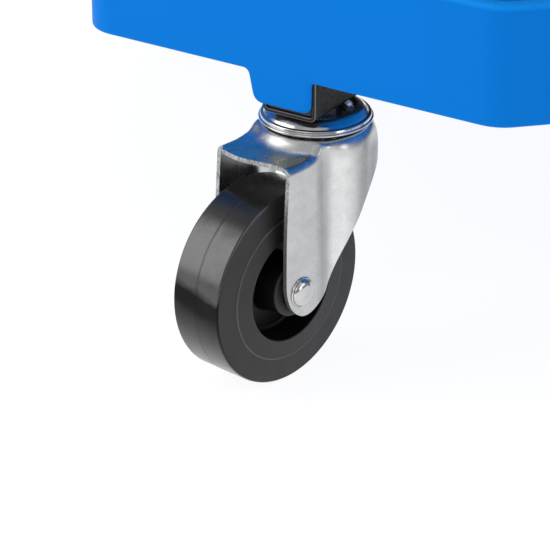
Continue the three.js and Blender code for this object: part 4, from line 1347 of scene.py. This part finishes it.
def slab_mesh():
    offs = [0.0, 0.55, 0.95, 1.22, 1.34, 1.72, 1.95, 2.35, 2.9, 3.6]
    lines = set()
    for c in (-RING_HALF, -RIB_X, RIB_X, RING_HALF):
        for o in offs:
            lines |= {round(c + o, 3), round(c - o, 3)}
    lines |= {float(v) for v in np.linspace(-45, 45, 7)} | {-205.0, -165.0, -120.0, -85.0, 85.0, 120.0, 165.0, 205.0}
    lim = TRAY_HALF - 1.3
    lines |= {-lim, lim}
    g = np.array(sorted(lines))
    X, Y = np.meshgrid(g, g, indexing="ij")
    Z = FLOOR_Z1 + rib_height(X, Y)
    m = len(g)
    side = np.maximum(0.0, np.abs(X) - 150.0) / 76.0
    X = X - np.sign(X) * side * side_sag(Y)
    top = np.stack([X.ravel(), Y.ravel(), Z.ravel()], 1)
    low = np.stack([X.ravel(), Y.ravel(), np.full(m * m, FLOOR_Z0)], 1)
    verts = np.r_[top, low]
    faces = []
    for i in range(m - 1):
        for j in range(m - 1):
            a, b, c, d = i * m + j, (i + 1) * m + j, (i + 1) * m + j + 1, i * m + j + 1
            faces.append((a, b, c, d))
            faces.append((m * m + a, m * m + d, m * m + c, m * m + b))
    for j in range(m - 1):
        faces.append((j, j + 1, m * m + j + 1, m * m + j))
        a = (m - 1) * m
        faces.append((a + j + 1, a + j, m * m + a + j, m * m + a + j + 1))
        faces.append(((j + 1) * m, j * m, m * m + j * m, m * m + (j + 1) * m))
        b = m - 1
        faces.append((j * m + b, (j + 1) * m + b, m * m + (j + 1) * m + b, m * m + j * m + b))
    me = make_mesh("slab", verts, faces, [M_BLUE], None, 50.0, flip=None)
    bm = bmesh.new()
    bm.from_mesh(me)
    planes = [(math.radians(45 + 90 * k), CHAMFER_D - 1.3) for k in range(4)]
    _, (wx, wy) = waist_corner()
    q = WAIST_CORNER_R * math.sqrt(0.5)
    for sx in (-1, 1):
        for sy in (-1, 1):
            a = math.radians(16.7)
            reach = (wx - q) * math.cos(a) + (wy - q) * math.sin(a) + WAIST_CORNER_R - 1.3
            planes.append((math.atan2(sy * math.sin(a), sx * math.cos(a)), reach))
    for a, reach in planes:
        no = Vector((math.cos(a), math.sin(a), 0))
        co = no * reach / 1000
        bmesh.ops.bisect_plane(
            bm, geom=bm.verts[:] + bm.edges[:] + bm.faces[:], dist=1e-7, plane_co=co, plane_no=no, clear_outer=True
        )
        open_edges = [e for e in bm.edges if e.is_boundary]
        bmesh.ops.holes_fill(bm, edges=open_edges, sides=0)
    bmesh.ops.recalc_face_normals(bm, faces=bm.faces)
    bm.to_mesh(me)
    bm.free()
    me.shade_smooth()
    me.set_sharp_from_angle(angle=math.radians(50))
    return me


def build_tray():
    wall = tray_mesh()
    slab = slab_mesh()
    bm = bmesh.new()
    bm.from_mesh(wall)
    bm.from_mesh(slab)
    me = bpy.data.meshes.new("tray")
    bm.to_mesh(me)
    bm.free()
    me.materials.append(M_BLUE)
    me.shade_smooth()
    me.set_sharp_from_angle(angle=math.radians(42))
    place("tray_moulding", me, "frame", ["tool_tray"], None, weighted=True)


# ---------------------------------------------------------------- legs and seat irons
def leg_bolt_mesh():
    head0 = TUBE_SHOW_Z0 - 5.0
    head = hex_head("bolt_head", 13.0, TUBE_SHOW_Z0 - 0.1, head0, [M_ZINC])
    prof = [(0, TUBE_Z0 - 1), (4.0, TUBE_Z0 - 1)]
    z = LEG_Z0 - 2
    while z < LEG_Z0 + 14.5:
        prof += [(4.0, z), (3.5, z + 0.6)]
        z += 1.25
    prof += [(3.2, LEG_Z0 + 16), (0, LEG_Z0 + 16)]
    shaft = lathe_mesh("bolt_shaft", prof, [M_ZINC], 32, closed=False)
    washer = lathe_mesh(
        "bolt_washer",
        rounded_path([(4.2, TUBE_SHOW_Z0 - 1.2, 0.1), (8.0, TUBE_SHOW_Z0 - 1.2, 0.3), (8.0, TUBE_SHOW_Z0 + 0.05, 0.3), (4.2, TUBE_SHOW_Z0 + 0.05, 0.1)], 2),
        [M_ZINC],
        48,
    )
    return join_meshes("leg_bolt", [head, shaft, washer])


def build_legs():
    foot = prism_mesh(
        "foot",
        rounded_path([(LEG_D - 20, -15, 4), (LEG_D + 20, -15, 4), (LEG_D + 20, 15, 4), (LEG_D - 20, 15, 4)], 6),
        LEG_Z0, LEG_Z0 + LEG_FOOT_T, [M_COAT], edge=0.6,
    )
    top = prism_mesh(
        "top",
        rounded_path([(SCREW_D - 12, -15, 4), (LEG_D + 13, -15, 4), (LEG_D + 13, 15, 4), (SCREW_D - 12, 15, 4)], 6),
        LEG_Z1 - LEG_FOOT_T, LEG_Z1, [M_COAT], edge=0.6,
    )
    tube = tube_mesh("leg_tube", LEG_Z0 + 1, LEG_Z1 - 1, LEG / 2, TUBE_WALL, 2.4, 0, [M_COAT], axis="Z")
    tube.transform(shift(LEG_D, 0, 0))
    h = LEG / 2
    ring = square_outline(h + 0.3, 2.6, 5)
    beads = []
    for z, r, seed in ((LEG_Z0 + LEG_FOOT_T + 0.4, 1.5, 21), (LEG_Z1 - LEG_FOOT_T - 0.4, 1.5, 22)):
        path = [(LEG_D + x, y, z) for x, y in ring] + [(LEG_D + ring[0][0], ring[0][1], z)]
        beads.append(weld_bead("leg_bead", path, r, seed))
    leg = join_meshes("leg", [foot, top, tube])
    weld = join_meshes("leg_weld", beads)
    bolt = leg_bolt_mesh()
    bolt.transform(shift(LEG_D, 0, 0))
    head1 = LEG_Z1 - LEG_FOOT_T - GAP
    shaft = lathe_mesh("screw_shaft", [(0, head1 - 1), (3, head1 - 1), (3, head1 + 14.2), (1.6, head1 + 15.5), (0, head1 + 15.6)], [M_ZINC], 32, closed=False)
    washer = lathe_mesh(
        "screw_washer",
        rounded_path([(3.1, head1 - 0.9, 0.1), (6.6, head1 - 0.9, 0.25), (6.6, head1 + 0.1, 0.25), (3.1, head1 + 0.1, 0.1)], 2),
        [M_ZINC], 48,
    )
    screw = join_meshes("seat_screw", [hex_head("screw_head", 10.0, head1, head1 - 4, [M_ZINC]), shaft, washer])
    screw.transform(shift(SCREW_D, 0, 0))
    for i, c in enumerate(CORNERS):
        m = turn_z(225 + 90 * i)
        place(f"{c}_leg_tube", leg, "frame", [f"leg_{c}"], m)
        place(f"{c}_leg_weld", weld, "frame", (), m)
        place(f"{c}_leg_screw", bolt, "frame", [f"leg_bolt_{c}"], m)
        place(f"{c}_seat_fixing", screw, "frame", [f"seat_screw_{c}"], m)
    hh, c30 = SEAT_PLATE_HALF, 30
    outline = rounded_path(
        [
            (-hh + c30, -hh, 6), (hh - c30, -hh, 6), (hh, -hh + c30, 6), (hh, hh - c30, 6),
            (hh - c30, hh, 6), (-hh + c30, hh, 6), (-hh, hh - c30, 6), (-hh, -hh + c30, 6),
        ],
        6,
    )
    plate = prism_mesh("plate", outline, SEAT_PLATE_Z0, SEAT_PLATE_Z0 + SEAT_PLATE_T, [M_COAT], edge=0.7)
    place("seat_iron_plate", plate, "frame", ["seat_plate"])


# ---------------------------------------------------------------- seat
def superellipse_square(h, r, n):
    """n points round a rounded square, starting at the middle of the right side, counter-clockwise, evenly spaced."""
    p = rounded_path([(h, -h, r), (h, h, r), (-h, h, r), (-h, -h, r)], 24)
    p = np.array(p + [p[0]])
    d = np.r_[0, np.cumsum(np.linalg.norm(np.diff(p, axis=0), axis=1))]
    w = np.linspace(0, d[-1], n, endpoint=False)
    return np.stack([np.interp(w, d, p[:, 0]), np.interp(w, d, p[:, 1])], 1)


def cushion_mesh():
    n = 224
    z_low = SEAT_PLATE_Z0 + SEAT_PLATE_T - 1.6
    seam_z = 376.0
    H = SEAT_HALF - 1.0
    base = superellipse_square(H, SEAT_CORNER, n)
    s = np.arange(n) / n
    # how far a point of the outline is from a corner, 0 at a corner and 1 mid side
    ang = np.abs(((s * 4 + 0.0) % 1.0) - 0.5) * 2
    rows = []

    def add(scale_in, z, corner=None):
        ring = superellipse_square(H - scale_in, max(4.0, SEAT_CORNER - scale_in * 0.9), n)
        zz = np.full(n, z) if np.isscalar(z) else z
        rows.append(np.c_[ring, zz])

    # underside: the cover is turned in and stapled to the board
    add(34.0, z_low + 1.3)
    add(30.0, z_low + 0.2)
    add(22.0, z_low)
    add(12.0, z_low)
    add(6.0, z_low + 0.3)
    add(3.2, z_low + 2.0)
    add(2.0, z_low + 5.0)
    # boxing: pulled in a little between the corners at half height
    for z in np.linspace(z_low + 9.0, seam_z - 3.5, 12):
        t = (z - z_low) / (seam_z - z_low)
        pull = 2.6 * math.sin(math.pi * min(1, max(0, t))) ** 1.2
        add(1.2 + pull * 0.55 - 1.2 * t, z)
    add(1.3, seam_z - 1.4)
    add(3.4, seam_z)
    add(2.4, seam_z + 1.6)
    # the crowned top
    crown = [(3.6, 3.6), (6.0, 5.6), (9.5, 7.7), (14.0, 9.5), (20.0, 11.1), (28.0, 12.5), (40.0, 13.8), (56.0, 14.8), (76.0, 15.5), (100.0, 15.95), (130.0, 16.0), (155.0, 16.0)]
    for inn, up in crown:
        ring = superellipse_square(H - inn, max(3.0, SEAT_CORNER - inn * 0.42) if H - inn > 50 else (H - inn) * 0.6, n)
        rows.append(np.c_[ring, np.full(n, seam_z + up * (SEAT_TOP - seam_z) / 16.0)])
    nr = len(rows)
    v = np.concatenate(rows)
    faces = grid_faces(nr, n, close_cols=True)
    c = len(v)
    v = np.r_[v, [[0, 0, SEAT_TOP]]]
    base_i = (nr - 1) * n
    for j in range(n):
        faces.append((base_i + j, base_i + (j + 1) % n, c))
    # inner lip of the fold, closed up against the board
    c2 = len(v)
    inner = superellipse_square(H - 34.0, SEAT_CORNER - 30.6, n)
    v = np.r_[v, np.c_[inner, np.full(n, z_low + 1.9)]]
    for j in range(n):
        faces.append((c2 + j, c2 + (j + 1) % n, (j + 1) % n, j))
    return make_mesh("cushion", v, faces, [M_VINYL], None, 0, flip=None), base


def piping_mesh(z, inset, radius):
    n = 360
    path = superellipse_square(SEAT_HALF - 1.0 - inset, SEAT_CORNER - inset * 0.9, n)
    seg = 14
    nxt = np.roll(path, -1, 0) - np.roll(path, 1, 0)
    nxt /= np.linalg.norm(nxt, axis=1)[:, None]
    out = np.stack([nxt[:, 1], -nxt[:, 0]], 1)
    verts = []
    for k in range(n):
        w = 1 + 0.025 * math.sin(k * 0.9) + 0.02 * math.sin(k * 2.3 + 1)
        for j in range(seg):
            a = 2 * math.pi * j / seg
            verts.append((path[k, 0] + out[k, 0] * radius * w * math.cos(a), path[k, 1] + out[k, 1] * radius * w * math.cos(a), z + radius * w * math.sin(a)))
    faces = grid_faces(n, seg, close_rows=True, close_cols=True)
    return make_mesh("piping", verts, faces, [M_VINYL], None, 0, flip=None)


def blown_up(me):
    """Lets the cover's top swell over its foam as cloth, and moves the drawn mesh by what the cloth moved, within 6 mm."""
    rest = np.array([v.co for v in me.vertices])
    bm = bmesh.new()
    bm.from_mesh(me)
    bmesh.ops.holes_fill(bm, edges=[e for e in bm.edges if e.is_boundary], sides=0)
    closed = bpy.data.meshes.new("cushion_closed")
    bm.to_mesh(closed)
    bm.free()
    o = bpy.data.objects.new("cushion_even", closed)
    bpy.context.scene.collection.objects.link(o)
    r = o.modifiers.new("even", "REMESH")
    r.mode = "VOXEL"
    r.voxel_size = 0.0055
    dg = bpy.context.evaluated_depsgraph_get()
    even = bpy.data.meshes.new_from_object(o.evaluated_get(dg))
    bpy.data.objects.remove(o)
    sim = bpy.data.objects.new("cushion_cloth", even)
    bpy.context.scene.collection.objects.link(sim)
    start = np.array([v.co for v in even.vertices])
    held = sim.vertex_groups.new(name="held")
    held.add([int(i) for i in np.nonzero(start[:, 2] < 0.3785)[0]], 1.0, "REPLACE")
    c = sim.modifiers.new("cloth", "CLOTH")
    c.settings.quality = 5
    c.settings.mass = 0.3
    c.settings.tension_stiffness = 14
    c.settings.compression_stiffness = 10
    c.settings.shear_stiffness = 6
    c.settings.bending_stiffness = 0.8
    c.settings.use_pressure = True
    c.settings.uniform_pressure_force = 4.0
    c.settings.vertex_group_mass = "held"
    c.settings.effector_weights.gravity = 0
    c.collision_settings.use_collision = False
    c.point_cache.frame_start = 1
    c.point_cache.frame_end = 20
    for f in range(1, 20):
        bpy.context.scene.frame_set(f)
    dg = bpy.context.evaluated_depsgraph_get()
    moved = np.array([v.co for v in sim.evaluated_get(dg).data.vertices])
    bpy.context.scene.frame_set(1)
    bpy.data.objects.remove(sim)
    if len(moved) != len(start):
        return
    d = moved - start
    l = np.linalg.norm(d, axis=1)
    d *= min(1.0, 0.006 / max(float(l.max()), 1e-9))
    tree = kdtree.KDTree(len(start))
    for i, p in enumerate(start):
        tree.insert(Vector(p), i)
    tree.balance()
    for i, p in enumerate(rest):
        if p[2] < 0.3775:
            continue
        near = tree.find_n(Vector(p), 7)
        w = np.array([1.0 / (q[2] + 0.001) for q in near])
        m = (np.array([d[q[1]] for q in near]) * w[:, None]).sum(0) / w.sum()
        k = float(smoothstep(np.array(p[2] * 1000), 377.5, 381.5))
        me.vertices[i].co = Vector(p + m * k)
    me.update()


def build_seat():
    me, _ = cushion_mesh()
    blown_up(me)
    cushion = place("seat_cushion", me, "frame", ["seat_cover", "seat_foam"])
    sub = cushion.modifiers.new("smooth", "SUBSURF")
    sub.levels = 1
    sub.render_levels = 1
    pipe = piping_mesh(376.1, 1.35, 2.2)
    p = place("seat_piping", pipe, "frame")
    # stitches just above and below the piping
    verts, faces = [], []
    for z, inset in ((380.6, 3.3), (371.4, -0.1)):
        path = superellipse_square(SEAT_HALF - 1.0 - inset - 0.9, SEAT_CORNER - (inset + 0.9) * 0.9, 1400)
        d = np.linalg.norm(np.roll(path, -1, 0) - path, axis=1).mean()
        step = max(2, int(round(4.2 / d)))
        ln = int(round(3.0 / d))
        for k in range(0, 1400 - ln, step):
            a = np.array((*path[k], z))
            b = np.array((*path[k + ln], z))
            t = (b - a) / np.linalg.norm(b - a)
            out = np.array((t[1], -t[0], 0))
            up = np.array((0, 0, 1.0))
            base = len(verts)
            for f, r in ((0.0, 0.12), (0.18, 0.42), (0.82, 0.42), (1.0, 0.12)):
                for j in range(6):
                    q = 2 * math.pi * j / 6
                    verts.append(a + (b - a) * f + r * (math.cos(q) * out + math.sin(q) * up) + out * 0.75)
            faces += grid_faces(4, 6, close_cols=True, base=base)
            faces.append(tuple(base + j for j in range(6)))
            faces.append(tuple(base + 18 + j for j in range(6)))
    st = make_mesh("stitches", verts, faces, [M_THREAD], None, 60, flip=None)
    place("seat_stitching", st, "frame")
    board = prism_mesh(
        "board",
        rounded_path([(-BOARD_HALF, -BOARD_HALF, 40), (BOARD_HALF, -BOARD_HALF, 40), (BOARD_HALF, BOARD_HALF, 40), (-BOARD_HALF, BOARD_HALF, 40)], 16),
        SEAT_PLATE_Z0 + SEAT_PLATE_T + GAP, SEAT_PLATE_Z0 + SEAT_PLATE_T + GAP + BOARD_T, [M_PLY], edge=0.5,
    )
    place("seat_plywood", board, "frame", ["seat_board"])
    # staples that hold the turned-in cover to the board
    verts, faces = [], []
    ring = superellipse_square(SEAT_HALF - 1.0 - 27.0, SEAT_CORNER - 24.0, 60)
    rng = np.random.default_rng(7)
    z = SEAT_PLATE_Z0 + SEAT_PLATE_T - 1.6 - 0.35
    bm = bmesh.new()
    for k in range(60):
        t = ring[(k + 1) % 60] - ring[k - 1]
        a = math.atan2(t[1], t[0]) + rng.normal(0, 0.12)
        m = shift(ring[k][0], ring[k][1], z) @ Matrix.Rotation(a, 4, "Z") @ Matrix.Diagonal((0.0105, 0.0011, 0.0006, 1))
        made = bmesh.ops.create_cube(bm, size=1.0, matrix=m)
    bmesh.ops.bevel(bm, geom=bm.edges[:], offset=0.0002, segments=2, affect="EDGES")
    sm = bpy.data.meshes.new("staples")
    bm.to_mesh(sm)
    bm.free()
    sm.materials.append(M_ZINC)
    sm.shade_smooth()
    place("seat_staples", sm, "frame")


build_casters()
build_base()
build_tray()
build_legs()
build_seat()


# ---------------------------------------------------------------- floor, light, camera
def build_stage():
    n = 96
    verts = [(0, 0, 0)]
    faces = []
    radii = [0.4, 1.0, 2.5, 6.0, 14.0]
    for r in radii:
        verts += [(r * 1000 * math.cos(2 * math.pi * k / n), r * 1000 * math.sin(2 * math.pi * k / n), 0) for k in range(n)]
    for k in range(n):
        faces.append((0, 1 + k, 1 + (k + 1) % n))
    for i in range(len(radii) - 1):
        for k in range(n):
            a = 1 + i * n + k
            b = 1 + i * n + (k + 1) % n
            faces.append((a, a + n, b + n, b))
    m = bpy.data.materials.new("floor_white")
    m.use_nodes = True
    t = m.node_tree
    b = t.nodes["Principled BSDF"]
    b.inputs["Base Color"].default_value = (0.18, 0.18, 0.18, 1)
    b.inputs["Roughness"].default_value = 0.9
    b.inputs["Specular IOR Level"].default_value = 0.1
    b.inputs["Emission Color"].default_value = (1, 1, 1, 1)
    b.inputs["Emission Strength"].default_value = 0.91
    me = make_mesh("floor", verts, faces, [m], None, 0)
    floor = bpy.data.objects.new("floor", me)
    bpy.context.scene.collection.objects.link(floor)
    floor.location.z = -0.0005
    # a pale wall far behind, only for what is looked at from low down; it sheds no light on the object
    wall = lathe([(13900, -10), (13900, 9000), (13950, 9000), (13950, -10)], n)
    back = bpy.data.objects.new("backdrop", make_mesh("backdrop", wall[0], wall[1], [m], None, 0))
    bpy.context.scene.collection.objects.link(back)
    back.visible_diffuse = False
    back.visible_glossy = False
    back.visible_transmission = False
    back.visible_shadow = False


def area(name, loc, target, size, power, size_y=None, colour=(1, 1, 1)):
    l = bpy.data.lights.new(name, "AREA")
    l.energy = power
    l.size = size
    l.color = colour
    if size_y:
        l.shape = "RECTANGLE"
        l.size_y = size_y
    o = bpy.data.objects.new(name, l)
    bpy.context.scene.collection.objects.link(o)
    o.location = loc
    d = Vector(target) - Vector(loc)
    o.rotation_euler = d.to_track_quat("-Z", "Y").to_euler()
    return o


def build_light():
    w = bpy.data.worlds.new("studio")
    bpy.context.scene.world = w
    w.use_nodes = True
    t = w.node_tree
    bg = t.nodes["Background"]
    tc = t.nodes.new("ShaderNodeTexCoord")
    sep = t.nodes.new("ShaderNodeSeparateXYZ")
    t.links.new(tc.outputs["Generated"], sep.inputs["Vector"])
    r = t.nodes.new("ShaderNodeValToRGB")
    e = r.color_ramp.elements
    stops = [(0.0, 0.85), (0.49, 0.80), (0.52, 0.36), (0.62, 0.36), (0.80, 0.60), (1.0, 0.8)]
    while len(e) < len(stops):
        e.new(0.5)
    for k, (p, c) in enumerate(stops):
        e[k].position = p
        e[k].color = (c, c, c * 1.01, 1)
    mr = t.nodes.new("ShaderNodeMapRange")
    mr.inputs["From Min"].default_value = -1
    mr.inputs["From Max"].default_value = 1
    t.links.new(sep.outputs["Z"], mr.inputs["Value"])
    t.links.new(mr.outputs["Result"], r.inputs["Fac"])
    t.links.new(r.outputs["Color"], bg.inputs["Color"])
    bg.inputs["Strength"].default_value = 0.75
    area("left", (-1.38, 0.0, 0.70), (-0.17, -0.17, 0.06), 0.95, 8.6, 1.25)
    area("key", (-1.6, -1.9, 1.45), (0, 0, 0.15), 1.2, 5.0, 1.2)
    area("right", (1.5, -1.3, 1.0), (0, 0, 0.12), 1.2, 4.5, 1.0)
    area("low_front", (0.85, -1.5, 0.40), (-0.15, -0.15, 0.06), 0.45, 1.8, 0.5)
    area("top", (0.2, 0.3, 2.1), (0, 0, 0.0), 1.5, 6.5, 1.5)


build_stage()
build_light()
cam = bpy.data.cameras.new("camera")
cam.lens = 216.0
cam.sensor_width = 36.0
cam.clip_start = 0.05
cam.clip_end = 60.0
cam_o = bpy.data.objects.new("camera", cam)
bpy.context.scene.collection.objects.link(cam_o)
# the camera keeps its place beside the front left swivel axis
cam_o.location = (-0.24821 - SWIVEL_D / math.sqrt(2) / 1000, -1.08660 - SWIVEL_D / math.sqrt(2) / 1000, 0.56542)
cam_o.rotation_euler = (math.radians(90 - 25.70), 0.0, math.radians(-12.096))
bpy.context.scene.camera = cam_o
bpy.context.scene.view_settings.view_transform = "Standard"
bpy.context.scene.view_settings.look = "None"
